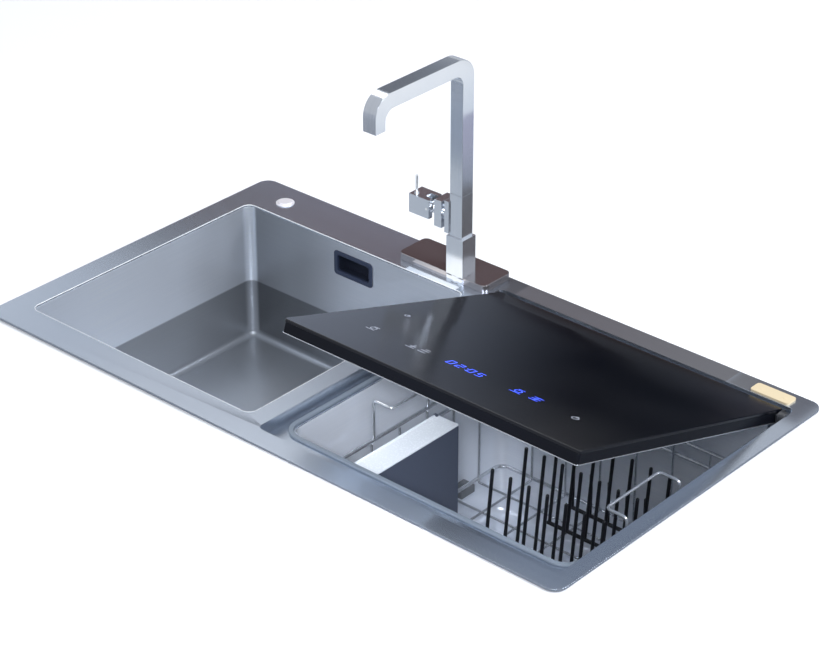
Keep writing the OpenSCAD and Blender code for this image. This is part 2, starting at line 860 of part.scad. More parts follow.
// Collar that turns with the handle, with a tongue that carries the handle's pivot
module mixer_collar() {
    neck_x = handle_x + handle_l + free_gap;
    color("silver") difference() {
        union() {
            rod_x(neck_x, tap_y, mixer_h, bar_x - seat_gap - neck_x, collar_r);
            rod_x(neck_x, tap_y, mixer_h, bar_x - neck_x + spindle_l - seat_gap, spindle_r);
            block(pivot_x, tap_y - tongue_w / 2, mixer_h - tongue_r, neck_x - pivot_x + free_gap, tongue_w,
                2 * tongue_r);
            rod_y(pivot_x, tap_y - tongue_w / 2, mixer_h, tongue_w, tongue_r);
        }
        rod_y(pivot_x, tap_y - tongue_w, mixer_h, 2 * tongue_w, pin_r + run_gap);
    }
}

module mixer_handle() {
    slot_d = tongue_w + 2 * tongue_gap;
    slot_l = pivot_in + tongue_r + free_gap;
    color("silver") difference() {
        block(handle_x, tap_y - block_d / 2, mixer_h - handle_h / 2, handle_l, block_d, handle_h);
        block(handle_x + handle_l - slot_l, tap_y - slot_d / 2, mixer_h - handle_h / 2 - cut_over,
            slot_l + cut_over, slot_d, handle_h + 2 * cut_over);
        rod_y(pivot_x, tap_y - block_d / 2 - cut_over, mixer_h, block_d + 2 * cut_over, pin_r + run_gap);
    }
}

module mixer_pin() {
    color("gray") rod_y(pivot_x, tap_y - block_d / 2, mixer_h, block_d, pin_r);
}

module mixer_lever() {
    x = handle_x + lever_in;
    y = tap_y - lever_side;
    z = mixer_h + handle_h / 2;
    color("silver") {
        rod_z(x, y, z, lever_foot_h, lever_foot_r);
        rod_z(x, y, z, lever_h - lever_r, lever_r);
        translate([x, y, z + lever_h - lever_r]) sphere(lever_r);
    }
}

module wash_tub() {
    color("lightsteelblue") difference() {
        union() {
            slab(tub_x - tub_wall, tub_y - tub_wall, tub_floor - tub_wall, tub_w + 2 * tub_wall,
                tub_d + 2 * tub_wall, ledge_under - tub_floor + tub_wall, tub_r + tub_wall);
            slab(tub_x - tub_flange, tub_y - tub_flange, ledge_under - tub_wall, tub_w + 2 * tub_flange,
                tub_d + 2 * tub_flange, tub_wall, tub_r + tub_flange);
        }
        slab(tub_x, tub_y, tub_floor, tub_w, tub_d, tub_depth, tub_r);
        rod_z(tub_mid_x, tub_mid_y, tub_floor - tub_wall - cut_over, tub_wall + 2 * cut_over, sump_r);
    }
}

// Rubber seal round the tub opening, on the ledge
module lid_gasket() {
    out = gasket_in + gasket_w;
    color("dimgray") band(tub_x - out, tub_y - out, ledge_z, tub_w + 2 * out, tub_d + 2 * out, gasket_h,
        tub_r + out, gasket_w);
}

// Front and side walls of the casing, in one bent sheet
module casing_wrap() {
    h = ledge_under - casing_foot;
    color("lightgray") {
        block(casing_x, casing_y, casing_foot, casing_w, casing_t, h);
        block(casing_x, casing_y, casing_foot, casing_t, casing_d - casing_t, h);
        block(casing_x + casing_w - casing_t, casing_y, casing_foot, casing_t, casing_d - casing_t, h);
    }
}

// Back wall of the casing, with the holes for inlet, drain and mains lead
module casing_back() {
    y = casing_y + casing_d - casing_t;
    color("lightgray") difference() {
        block(casing_x, y, casing_foot, casing_w, casing_t, ledge_under - casing_foot);
        rod_y(inlet_x, y - cut_over, inlet_z, casing_t + 2 * cut_over, inlet_r + pump_wall + seat_gap);
        rod_y(tail_x, y - cut_over, tail_z, casing_t + 2 * cut_over, tail_r + pump_wall + seat_gap);
        rod_y(gland_x, y - cut_over, gland_z, casing_t + 2 * cut_over, gland_r + seat_gap);
    }
}

// Tray under the machine, with the ring that guides the leak float
module base_tray() {
    w = casing_w - 2 * tray_in;
    d = casing_d - 2 * tray_in;
    ring_h = float_h + float_travel;
    color("gray") {
        difference() {
            block(casing_x + tray_in, casing_y + tray_in, casing_foot, w, d, tray_h);
            block(casing_x + tray_in + tray_t, casing_y + tray_in + tray_t, casing_foot + tray_t,
                w - 2 * tray_t, d - 2 * tray_t, tray_h);
        }
        difference() {
            rod_z(float_x, float_y, casing_foot, tray_t + ring_h, float_r + free_gap + guide_t);
            rod_z(float_x, float_y, casing_foot + tray_t, ring_h + cut_over, float_r + free_gap);
        }
    }
}

// Sump under the tub: a wide mouth that steps down to a cup, with ports to both pumps
module sump() {
    step_z = tub_floor - sump_step;
    lip_z = tub_floor - tub_wall - sump_wall;
    color("dimgray") difference() {
        union() {
            rod_z(tub_mid_x, tub_mid_y, lip_z, sump_wall, sump_r + sump_lip);
            rod_z(tub_mid_x, tub_mid_y, step_z, sump_step - tub_wall, sump_r + sump_wall);
            rod_z(tub_mid_x, tub_mid_y, sump_foot, sump_h - tub_wall, cup_r);
            rod_x(drain_x, tub_mid_y, axis_z, pump_x - drain_x, pipe_r);
            rod_y(feed_in_x, tub_mid_y, feed_z, feed_port_y - tub_mid_y, pipe_r);
        }
        rod_z(tub_mid_x, tub_mid_y, step_z + sump_wall, sump_step, sump_r);
        rod_z(tub_mid_x, tub_mid_y, sump_foot + sump_wall, sump_h, cup_r - sump_wall);
        rod_x(drain_x - cut_over, tub_mid_y, axis_z, pump_x - drain_x + 2 * cut_over, pipe_r - pipe_wall);
        rod_y(feed_in_x, tub_mid_y, feed_z, feed_port_y - tub_mid_y + cut_over, pipe_r - pipe_wall);
    }
}

// Round filter plate in the sump's mouth, with a cup filter below it
module tub_filter() {
    ring_r = sump_r * filter_ring_share;
    color("silver") difference() {
        union() {
            rod_z(tub_mid_x, tub_mid_y, tub_floor - filter_t, filter_t, sump_r - seat_gap);
            rod_z(tub_mid_x, tub_mid_y, tub_floor - filter_cup_h, filter_cup_h, filter_cup_r);
        }
        rod_z(tub_mid_x, tub_mid_y, tub_floor - filter_cup_h - cut_over, filter_cup_h + 2 * cut_over,
            filter_cup_r - filter_t);
        for (a = [0:15:345]) translate([tub_mid_x, tub_mid_y, 0]) rotate([0, 0, a])
            rod_z(ring_r, 0, tub_floor - filter_t - cut_over, filter_t + 2 * cut_over, filter_hole_r);
    }
}

// Pillar that feeds and carries the spray arm
module spray_hub() {
    color("dimgray") {
        rod_z(tub_mid_x, tub_mid_y, sump_foot + sump_wall, tub_floor + hub_rise - sump_foot - sump_wall,
            hub_r);
        rod_z(tub_mid_x, tub_mid_y, tub_floor + hub_rise, hub_pin_h, hub_pin_r);
    }
}

// Spray arm with its row of nozzles
module spray_arm() {
    half = arm_l / 2;
    color("gray") difference() {
        union() {
            slab(tub_mid_x - half, tub_mid_y - arm_w / 2, arm_z, arm_l, arm_w, arm_t, arm_w / 2 - free_gap);
            rod_z(tub_mid_x, tub_mid_y, arm_z, hub_pin_h - free_gap, hub_r + arm_t / 2);
            for (s = nozzle_shares, side = [-1, 1])
                rod_z(tub_mid_x + side * s * (half - arm_w / 4), tub_mid_y + side * arm_w / 8, arm_z,
                    arm_t + nozzle_h, 2 * nozzle_r);
        }
        rod_z(tub_mid_x, tub_mid_y, arm_z - cut_over, hub_pin_h + 2 * cut_over, hub_pin_r + run_gap);
        for (s = nozzle_shares, side = [-1, 1])
            rod_z(tub_mid_x + side * s * (half - arm_w / 4), tub_mid_y + side * arm_w / 8, arm_z + arm_t / 2,
                arm_t + nozzle_h, nozzle_r / 2);
    }
}

// Wash pump: housing with an eye towards the sump and an outlet towards the heater
module pump_housing() {
    out_y = tub_mid_y + pump_r - pipe_r;
    color("whitesmoke") difference() {
        union() {
            rod_x(pump_x, tub_mid_y, axis_z, pump_l, pump_r);
            rod_y(feed_out_x, tub_mid_y, feed_z, pump_r + pipe_r, pipe_r);
        }
        rod_x(pump_x + pump_wall, tub_mid_y, axis_z, pump_l, pump_r - pump_wall);
        rod_x(pump_x - cut_over, tub_mid_y, axis_z, pump_l, pipe_r - pipe_wall);
        rod_y(feed_out_x, out_y - pump_wall, feed_z, 2 * pipe_r + pump_r, pipe_r - pipe_wall);
    }
}

// Impeller with its shaft in the motor's bearing
module pump_impeller() {
    x = pump_x + pump_wall + free_gap;
    color("lightyellow") {
        rod_x(x + impeller_t, tub_mid_y, axis_z, blade_t, impeller_r);
        rod_x(x, tub_mid_y, axis_z, impeller_t + blade_t, 2 * shaft_r);
        rod_x(x, tub_mid_y, axis_z, pump_x + pump_l + shaft_l - x, shaft_r);
        for (a = [0:360 / blade_count:359]) translate([x, tub_mid_y, axis_z]) rotate([a, 0, 0])
            block(0, 0, -blade_t / 2, impeller_t + blade_t / 2, impeller_r - free_gap, blade_t);
    }
}

module pump_motor() {
    x = pump_x + pump_l;
    cap_t = 2 * pump_wall;
    color("darkgray") difference() {
        union() {
            rod_x(x, tub_mid_y, axis_z, cap_t, pump_r);
            rod_x(x, tub_mid_y, axis_z, motor_l, motor_r);
            for (a = [0:360 / fin_count:359]) translate([x + cap_t, tub_mid_y, axis_z]) rotate([a, 0, 0])
                block(0, 0, -fin_t / 2, motor_l - 2 * cap_t, motor_r + fin_t, fin_t);
        }
        rod_x(x - cut_over, tub_mid_y, axis_z, shaft_l + 2 * cut_over, shaft_r + run_gap);
    }
}

// Flow-through heater between the wash pump and the sump, with its two terminals
module flow_heater() {
    color("silver") {
        rod_x(heater_x, heater_y, feed_z, heater_l, heater_r);
        for (x = [heater_x, heater_x + heater_l - pump_wall])
            rod_x(x, heater_y, feed_z, pump_wall, heater_r + free_gap);
        for (s = pillar_shares)
            rod_z(heater_x + s * heater_l, heater_y, feed_z, heater_r + heater_pin_l, heater_pin_r);
    }
}

// One wash pipe: straight from a port, then a bend to the heater; dir is -1 or 1 along X
module wash_pipe(x, y0, dir) {
    r = pipe_r - seat_gap;
    straight = heater_y - feed_bend - y0;
    translate([x, y0, feed_z]) mirror([(dir + 1) / 2, 0, 0]) {
        difference() {
            rod_y(0, 0, 0, straight, r);
            rod_y(0, -cut_over, 0, straight + 2 * cut_over, r - pipe_wall);
        }
        translate([-feed_bend, straight, 0]) rotate_extrude(angle = 90) translate([feed_bend, 0])
            difference() {
                circle(r);
                circle(r - pipe_wall);
            }
    }
}

// Pipes from the pump's outlet to the heater, and from the heater to the sump
module wash_pipes() {
    color("black") {
        wash_pipe(feed_out_x, tub_mid_y + pump_r + pipe_r + seat_gap, -1);
        wash_pipe(feed_in_x, feed_port_y + seat_gap, 1);
    }
}

// Drain pump: housing with its outlet towards the back
module drain_pump() {
    color("whitesmoke") difference() {
        union() {
            rod_x(drain_x - drain_l, tub_mid_y, axis_z, drain_l, drain_r);
            rod_y(tail_x, tub_mid_y, axis_z, drain_r + pipe_r, tail_r);
        }
        rod_x(drain_x - drain_l - cut_over, tub_mid_y, axis_z, drain_l - pump_wall + cut_over,
            drain_r - pump_wall);
        rod_x(drain_x - drain_l, tub_mid_y, axis_z, drain_l + cut_over, pipe_r - pipe_wall);
        rod_y(tail_x, tub_mid_y + drain_r - 2 * pump_wall, axis_z, 2 * pipe_r + 2 * pump_wall, tail_bore_r);
    }
}

module drain_impeller() {
    x = drain_x - pump_wall - free_gap;
    l = drain_l - pump_wall - 2 * free_gap;
    color("lightyellow") {
        rod_x(x - l, tub_mid_y, axis_z, l, 2 * shaft_r);
        rod_x(drain_x - drain_l - shaft_l + free_gap, tub_mid_y, axis_z, shaft_l, shaft_r);
        for (a = [0:90:270]) translate([x - l, tub_mid_y, axis_z]) rotate([a, 0, 0])
            block(0, 0, -blade_t / 2, l, drain_r - pump_wall - free_gap, blade_t);
    }
}

module drain_motor() {
    x = drain_x - drain_l;
    color("darkgray") difference() {
        union() {
            rod_x(x - pump_wall, tub_mid_y, axis_z, pump_wall, drain_r);
            rod_x(x - drain_motor_l, tub_mid_y, axis_z, drain_motor_l, drain_motor_r);
        }
        rod_x(x - shaft_l - cut_over, tub_mid_y, axis_z, shaft_l + 2 * cut_over, shaft_r + run_gap);
    }
}

// Drain pipe to the casing's back, ending in a hose tail
module drain_tail() {
    y0 = tub_mid_y + drain_r + pipe_r;
    y1 = casing_y + casing_d;
    color("black") difference() {
        union() {
            rod_y(tail_x, y0, tail_z, y1 - y0 + tail_l, tail_r);
            rod_y(tail_x, y1 - casing_t - 2 * pump_wall, tail_z, 2 * pump_wall + casing_t + collar_out,
                tail_r + pump_wall);
        }
        rod_y(tail_x, y0 - cut_over, tail_z, y1 - y0 + tail_l + 2 * cut_over, tail_bore_r);
    }
}

// Inlet valve on the back wall, with its coil and the pipe up to the tub
module inlet_valve() {
    y1 = casing_y + casing_d - casing_t;
    half = inlet_block / 2;
    pipe_y = tub_y + tub_d + tub_wall + fill_r + seat_gap;
    top = tub_floor + rack_lift;
    color("white") difference() {
        union() {
            block(inlet_x - half, y1 - inlet_block, inlet_z - half, inlet_block, inlet_block, inlet_block);
            rod_y(inlet_x, y1 - free_gap, inlet_z, inlet_l + casing_t + free_gap, inlet_r);
            rod_y(inlet_x, y1 - free_gap, inlet_z, casing_t + collar_out + free_gap, inlet_r + pump_wall);
            rod_x(inlet_x - half - pipe_r, y1 - half, inlet_z, pipe_r + cut_over, pipe_r);
            rod_z(inlet_x, pipe_y, inlet_z, top - inlet_z, fill_r);
        }
        rod_y(inlet_x, y1, inlet_z, inlet_l + casing_t + cut_over, inlet_r - pump_wall);
    }
}

// Float in the base tray, on a guide stem
module leak_float() {
    z = casing_foot + tray_t + seat_gap;
    color("orange") {
        difference() {
            rod_z(float_x, float_y, z, float_h, float_r);
            rod_z(float_x, float_y, z - cut_over, float_h / 2, float_r / 2);
        }
        rod_z(float_x, float_y, z + float_h, float_stem_h - float_h, float_stem_r);
    }
}

// Box for the electronics, with vents in its side
module control_box() {
    pitch = box_d / (vent_count + 1);
    color("ivory") difference() {
        block(box_x, box_y, box_z, box_w, box_d, box_h);
        block(box_x + box_wall, box_y + box_wall, box_z + box_wall, box_w - 2 * box_wall,
            box_d - 2 * box_wall, box_h - 2 * box_wall);
        for (i = [1:vent_count])
            block(box_x - cut_over, box_y + i * pitch, box_z + box_h / 3, box_wall + 2 * cut_over,
                pitch / 2, box_h / 3);
    }
}

// Circuit board with its relays and capacitors, on pillars in the box
module control_board() {
    z = box_z + box_wall;
    top = z + 2 * box_wall;
    color("green") {
        block(box_x + 2 * box_wall, box_y + 2 * box_wall, z + box_wall, box_w - 4 * box_wall,
            box_d - 4 * box_wall, box_wall);
        for (s = part_shares, t = pillar_shares)
            rod_z(box_x + t * box_w, box_y + s * box_d, z, box_wall, box_wall);
        for (s = part_shares) {
            block(box_x + relay_share * box_w, box_y + s * box_d, top, box_w / 5, box_d / 10, box_h / 3);
            rod_z(box_x + coil_share * box_w, box_y + s * box_d, top, box_h / 2, box_w / 20);
        }
    }
}

// Gland for the mains lead in the back wall
module cable_gland() {
    y1 = casing_y + casing_d;
    color("black") difference() {
        union() {
            rod_y(gland_x, y1 - casing_t - gland_nut_l, gland_z, gland_l + casing_t + gland_nut_l, gland_r);
            rod_y(gland_x, y1, gland_z, gland_nut_l, gland_nut_r);
            rod_y(gland_x, y1 - casing_t - gland_nut_l, gland_z, gland_nut_l, gland_nut_r);
        }
        rod_y(gland_x, y1 - casing_t - gland_nut_l - cut_over, gland_z,
            gland_l + casing_t + gland_nut_l + 2 * cut_over, gland_bore_r);
    }
}

// A ring of wire with bent corners
module wire_ring(z, r) {
    long_w = rack_w - 2 * corner_r;
    long_d = rack_d - 2 * corner_r;
    for (y = [rack_y, rack_y + rack_d]) rod_x(rack_x + corner_r, y, z, long_w, r);
    for (x = [rack_x, rack_x + rack_w]) rod_y(x, rack_y + corner_r, z, long_d, r);
    for (i = [0, 1], j = [0, 1])
        translate([rack_x + corner_r + i * long_w, rack_y + corner_r + j * long_d, z])
        mirror([1 - i, 0, 0]) mirror([0, 1 - j, 0])
        rotate_extrude(angle = 90) translate([corner_r, 0]) circle(r);
}

// A quarter bend of handle wire
module grip_elbow(x, y, z, turn) {
    translate([x, y, z]) rotate(turn) rotate_extrude(angle = 90) translate([grip_bend, 0]) circle(grip_r);
}

// Handle loop on one long side; side is 0 on the left and 1 on the right
module wire_grip(side) {
    half = grip_l / 2;
    translate([rack_x + side * rack_w, grip_y + half, rail_z]) mirror([side, 0, 0]) {
        for (s = [0, 1]) mirror([0, s, 0]) {
            rod_z(0, half, 0, grip_h - grip_bend, grip_r);
            grip_elbow(grip_bend, half, grip_h - grip_bend, [90, 0, 180]);
            rod_x(grip_bend, half, grip_h, grip_in - 2 * grip_bend, grip_r);
            grip_elbow(grip_in - grip_bend, half - grip_bend, grip_h, [0, 0, 0]);
        }
        rod_y(grip_in, grip_bend - half, grip_h, grip_l - 2 * grip_bend, grip_r);
    }
}

// One bent wire: a floor run of length l between two upright posts of height h
module bent_wire(l, h) {
    rod_x(wire_bend, 0, 0, l - 2 * wire_bend, wire_r);
    for (s = [0, 1]) translate([s * l, 0, wire_bend]) mirror([s, 0, 0]) {
        rod_z(0, 0, 0, h - wire_bend, wire_r);
        translate([wire_bend, 0, 0]) rotate([-90, 0, 180])
        rotate_extrude(angle = 90) translate([wire_bend, 0]) circle(wire_r);
    }
}

// Floor wires both ways, each turned up at its ends into posts just inside the rings
module rack_wires() {
    long_z = cross_z + 2 * weld_in - 2 * wire_r;
    for (i = [1:wire_count - 1]) {
        x = rack_x + i * rack_w / wire_count;
        y = rack_y + i * rack_d / wire_count;
        translate([rack_x + post_in, y, long_z]) bent_wire(rack_w - 2 * post_in, rail_z - long_z);
        translate([x, rack_y + post_in, cross_z]) rotate(90)
        bent_wire(rack_d - 2 * post_in, rail_z - cross_z);
    }
}

// Wire rack: three rings with the two handles, and the wires
module rack_frame() {
    color("gainsboro") {
        union() {
            for (z = [rack_z, rack_z + rack_h * mid_share, rail_z]) wire_ring(z, frame_r);
            for (side = [0, 1]) wire_grip(side);
        }
        union() rack_wires();
    }
}

// One row of upright tines on its foot wire
module tine_row(y, z, h, lean) {
    x0 = rack_x + tine_start_share * rack_w;
    x1 = rack_x + tine_end_share * rack_w;
    pitch = (x1 - x0) / (tine_count - 1);
    rod_x(x0 - tine_foot_r, y, z, x1 - x0 + 2 * tine_foot_r, tine_foot_r);
    for (i = [0:tine_count - 1]) translate([x0 + i * pitch, y, z]) rotate([-lean, 0, 0]) {
        cylinder(h = h, r = tine_r);
        translate([0, 0, h]) sphere(tine_r);
    }
}

// Rows of coated tines that stand on the rack's floor wires
module rack_tines() {
    z = cross_z + wire_r + tine_foot_r + seat_gap;
    color("black") {
        for (row = tine_rows_share) tine_row(rack_y + row * rack_d, z, tine_h, tine_lean);
        tine_row(rack_y + stub_row_share * rack_d, z, tine_h * stub_h_share, 0);
    }
}

// Plastic blocks on the tub's side walls that carry the rack
module rack_rests() {
    z = rack_z - frame_r - rest_h - seat_gap;
    color("dimgray") for (s = [rest_share, 1 - rest_share]) {
        y = tub_y + s * tub_d - rest_w / 2;
        block(tub_x, y, z, rack_gap + frame_r, rest_w, rest_h);
        block(tub_x + tub_w - rack_gap - frame_r, y, z, rack_gap + frame_r, rest_w, rest_h);
    }
}

module cutlery_box() {
    h = cutlery_top - lid_plate_t - seat_gap - cutlery_floor;
    ear_z = cutlery_top - lid_plate_t / 2;
    color("white") difference() {
        union() {
            block(cutlery_x, cutlery_y, cutlery_floor, cutlery_w, cutlery_l, h);
            for (y = [cutlery_y, cutlery_y + cutlery_l - ear_t])
                block(barrel_x - barrel_r, y, ear_z - ear_h, cutlery_x - barrel_x + barrel_r + cut_over,
                    ear_t, ear_h + barrel_r);
        }
        block(cutlery_x + cutlery_wall, cutlery_y + cutlery_wall, cutlery_floor + cutlery_wall,
            cutlery_w - 2 * cutlery_wall, cutlery_l - 2 * cutlery_wall, rack_h + rack_lift);
        block(cutlery_x, cutlery_y - cut_over, cutlery_top - lid_plate_t - seat_gap, cutlery_w,
            cutlery_l + 2 * cut_over, rack_h);
        rod_y(barrel_x, cutlery_y - cut_over, ear_z, cutlery_l + 2 * cut_over, ear_pin_r + run_gap);
    }
}

// Lid of the cutlery box, on pins in the box's ears
module cutlery_lid() {
    z = cutlery_top - lid_plate_t / 2;
    y0 = cutlery_y + ear_t + seat_gap;
    l = cutlery_l - 2 * ear_t - 2 * seat_gap;
    color("white") {
        block(cutlery_x + ear_notch, cutlery_y, z - lid_plate_t / 2, cutlery_w - ear_notch, cutlery_l,
            lid_plate_t);
        rod_y(barrel_x, y0, z, l, barrel_r);
        block(barrel_x, y0, z - lid_plate_t / 2, cutlery_x - barrel_x + ear_notch + cut_over, l,
            lid_plate_t);
        rod_y(barrel_x, cutlery_y, z, cutlery_l, ear_pin_r);
    }
}

module lid_glass() {
    color([0.03, 0.04, 0.07]) opened()
        slab(lid_x, lid_y, glass_z, lid_w, lid_d, glass_t, lid_r);
}

// Frame round the lid, with the bosses that turn on the hinge pins and its lower back edge bevelled
module lid_frame() {
    w = lid_w - 2 * frame_inset;
    d = lid_d - 2 * frame_inset;
    x = lid_x + frame_inset;
    y = lid_y + frame_inset;
    color([0.06, 0.06, 0.07]) opened() difference() {
        union() {
            band(x, y, frame_z, w, d, frame_h, lid_r, frame_wall);
            for (bx = [x, x + w - boss_l])
                block(bx, y + d - boss_d - frame_inset, frame_z, boss_l, boss_d, frame_h);
        }
        translate([x - cut_over, y + d, frame_z]) rotate([45, 0, 0])
            translate([0, -lid_chamfer, -lid_chamfer])
            cube([w + 2 * cut_over, 2 * lid_chamfer, 2 * lid_chamfer]);
        rod_x(x - cut_over, hinge_y, hinge_z, w + 2 * cut_over, hinge_r + run_gap);
    }
}

// Inner steel panel that closes the lid's underside
module lid_panel() {
    color("silver") opened()
        slab(lid_x, lid_y, lid_z, lid_w, lid_d - lid_chamfer - frame_inset, panel_t, lid_r);
}

// Circuit board with the touch pads, under the glass
module touch_board() {
    x = lid_x + board_side;
    y = lid_y + board_front;
    w = lid_w - 2 * board_side;
    color("darkgreen") opened() {
        block(x, y, glass_z - board_t - icon_pad_h, w, board_d, board_t);
        for (i = [1:pad_count])
            rod_z(x + i * w / (pad_count + 1), y + board_d / 2, glass_z - board_t - icon_pad_h,
                board_t + icon_pad_h, board_d / 5);
        for (i = [0, 1])
            block(x + i * (w - board_t), y, frame_z, board_t, board_d, frame_h - icon_pad_h);
    }
}

// Hinge brackets on the ledge, one at each end of the lid
module hinge_brackets() {
    y = hinge_y - bracket_d / 2;
    h = hinge_z + bracket_rise - ledge_z;
    right_x = lid_x + lid_w + free_gap;
    out = gasket_in + gasket_w + seat_gap;
    color("dimgray") difference() {
        union() {
            block(recess_x, y, ledge_z, bracket_t, bracket_d, h);
            block(right_x, y, ledge_z, bracket_t, bracket_d, h);
            block(right_x, y, ledge_z, recess_x + recess_w - right_x, bracket_d, bracket_t);
            rod_x(right_x, hinge_y, hinge_z, recess_x + recess_w - right_x, bracket_foot + hinge_r);
        }
        rod_x(recess_x - cut_over, hinge_y, hinge_z, recess_w + 2 * cut_over, hinge_r + run_gap);
        slab(tub_x - out, tub_y - out, ledge_z - cut_over, tub_w + 2 * out, tub_d + 2 * out,
            gasket_h + seat_gap + cut_over, tub_r + out);
    }
}

module hinge_pins() {
    right_x = lid_x + lid_w - boss_l;
    color("silver") {
        rod_x(recess_x, hinge_y, hinge_z, lid_gap_left + boss_l, hinge_r);
        rod_x(right_x, hinge_y, hinge_z, recess_x + recess_w - right_x, hinge_r);
    }
}

// Pale cover on the strip behind the lid's right end
module hinge_cover() {
    x = recess_x + recess_w - cover_side - cover_w;
    y = recess_y + recess_d + free_gap;
    color("palegoldenrod") {
        slab(x, y, deck_top, cover_w, cover_d, cover_h, lid_r);
        for (s = screw_shares)
            rod_z(x + s * cover_w, y + cover_d / 2, deck_top + cover_h, screw_head_h, cover_screw_r);
    }
}

// One clamp: a plate on a wall, an arm and the screw that presses on the worktop
module rim_clip(turn) {
    rotate([0, 0, turn]) {
        block(-clip_w / 2, 0, clip_z - clip_h, clip_w, clip_t, clip_h);
        block(-clip_w / 2, 0, clip_z - clip_h, clip_w, clip_arm, clip_t);
        rod_z(0, clip_arm / 2 + clip_t, clip_z - clip_h - clip_arm, clip_arm + clip_h, clip_screw_r);
        rod_z(0, clip_arm / 2 + clip_t, clip_z, clip_t, 2 * clip_screw_r);
    }
}

// Clamps round the unit, on the walls of the bowl and the casing
module rim_clips() {
    color("silver") {
        for (s = clip_shares) {
            translate([bowl_x + s * bowl_w, bowl_y - bowl_wall, 0]) rim_clip(180);
            translate([casing_x + s * casing_w, casing_y, 0]) rim_clip(180);
            translate([casing_x + s * casing_w, casing_y + casing_d, 0]) rim_clip(0);
            translate([bowl_x - bowl_wall, bowl_y + s * bowl_d, 0]) rim_clip(90);
            translate([casing_x + casing_w, casing_y + s * casing_d, 0]) rim_clip(-90);
        }
    }
}

deck();
rim_seal();
sink_bowl();
bowl_pads();
overflow_cover();
overflow_pipe();
waste_body();
waste_plug();
waste_tail();
drain_button();
drain_actuator();
tap_plate();
tap_body();
tap_nut();
tap_spout();
tap_aerator();
mixer_flange();
mixer_bar();
mixer_cartridge();
mixer_collar();
mixer_handle();
mixer_pin();
mixer_lever();
wash_tub();
lid_gasket();
casing_wrap();
casing_back();
base_tray();
sump();
tub_filter();
spray_hub();
spray_arm();
pump_housing();
pump_impeller();
pump_motor();
flow_heater();
wash_pipes();
drain_pump();
drain_impeller();
drain_motor();
drain_tail();
inlet_valve();
leak_float();
control_box();
control_board();
cable_gland();
rack_frame();
rack_tines();
rack_rests();
cutlery_box();
cutlery_lid();
lid_glass();
lid_frame();
lid_panel();
touch_board();
hinge_brackets();
hinge_pins();
hinge_cover();
rim_clips();
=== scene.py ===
import json
import math

import bmesh
import bpy
import numpy as np
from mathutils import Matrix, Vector


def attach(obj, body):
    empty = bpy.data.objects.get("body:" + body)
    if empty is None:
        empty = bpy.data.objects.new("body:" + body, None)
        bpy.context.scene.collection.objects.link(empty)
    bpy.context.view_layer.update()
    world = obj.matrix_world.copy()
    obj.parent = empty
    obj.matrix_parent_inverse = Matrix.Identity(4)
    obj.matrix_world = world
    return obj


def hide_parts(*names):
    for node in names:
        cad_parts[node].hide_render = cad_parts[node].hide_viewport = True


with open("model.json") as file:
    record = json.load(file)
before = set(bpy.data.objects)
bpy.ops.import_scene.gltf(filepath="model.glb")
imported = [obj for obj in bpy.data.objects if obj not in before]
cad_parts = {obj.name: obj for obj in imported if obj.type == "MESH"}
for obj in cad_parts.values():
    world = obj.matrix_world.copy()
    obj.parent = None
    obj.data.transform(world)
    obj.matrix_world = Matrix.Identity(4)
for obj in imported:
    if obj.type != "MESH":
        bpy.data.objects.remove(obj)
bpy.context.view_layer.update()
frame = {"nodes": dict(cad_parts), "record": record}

mm = 0.001
print("frame loaded:", len(frame["nodes"]), "nodes")


def linearColour(hexText, alpha=1.0):
    # sRGB hex to linear: c / 12.92 below 0.04045, otherwise ((c + 0.055) / 1.055) ^ 2.4
    parts = np.array([int(hexText[i:i + 2], 16) for i in (1, 3, 5)]) / 255
    values = np.where(parts <= 0.04045, parts / 12.92, ((parts + 0.055) / 1.055) ** 2.4)
    return (*values.tolist(), alpha)


def addNode(tree, kind, settings=None, inputs=None):
    node = tree.nodes.new(kind)
    for key, value in (settings or {}).items():
        setattr(node, key, value)
    for key, value in (inputs or {}).items():
        if isinstance(value, bpy.types.NodeSocket):
            tree.links.new(value, node.inputs[key])
        else:
            node.inputs[key].default_value = value
    return node


def newMaterial(name, values):
    material = bpy.data.materials.new(name)
    material.use_nodes = True
    tree = material.node_tree
    tree.nodes.clear()
    shader = addNode(tree, "ShaderNodeBsdfPrincipled", inputs=values)
    addNode(tree, "ShaderNodeOutputMaterial", inputs={"Surface": shader.outputs[0]})
    return material, tree, shader


noiseSpan = (0.3, 0.7)  # nearly all of the noise's values lie between these
noiseRoughness = 0.6
bumpDepth = 0.2 * mm


def grainNoise(tree, grainMm, detail):
    # noise whose grain is as long along each axis as grainMm says, in millimetres
    place = addNode(tree, "ShaderNodeTexCoord")
    stretch = addNode(tree, "ShaderNodeMapping", inputs={
        "Vector": place.outputs["Object"], "Scale": tuple(1000 / g for g in grainMm)})
    return addNode(tree, "ShaderNodeTexNoise", inputs={
        "Vector": stretch.outputs[0], "Scale": 1.0, "Detail": detail,
        "Roughness": noiseRoughness})


def noiseRange(tree, noise, low, high):
    # the noise's span stretched to run from low to high
    spread = addNode(tree, "ShaderNodeMapRange", inputs={
        "Value": noise.outputs["Fac"], "From Min": noiseSpan[0], "From Max": noiseSpan[1],
        "To Min": low, "To Max": high})
    return spread.outputs[0]


def scaleColour(tree, colour, factor):
    scaled = addNode(tree, "ShaderNodeVectorMath", {"operation": "SCALE"}, {0: colour, "Scale": factor})
    return scaled.outputs[0]


def objectPlace(tree):
    # the shaded point's X, Y and Z on the piece, in metres
    place = addNode(tree, "ShaderNodeTexCoord")
    return addNode(tree, "ShaderNodeSeparateXYZ", inputs={0: place.outputs["Object"]})


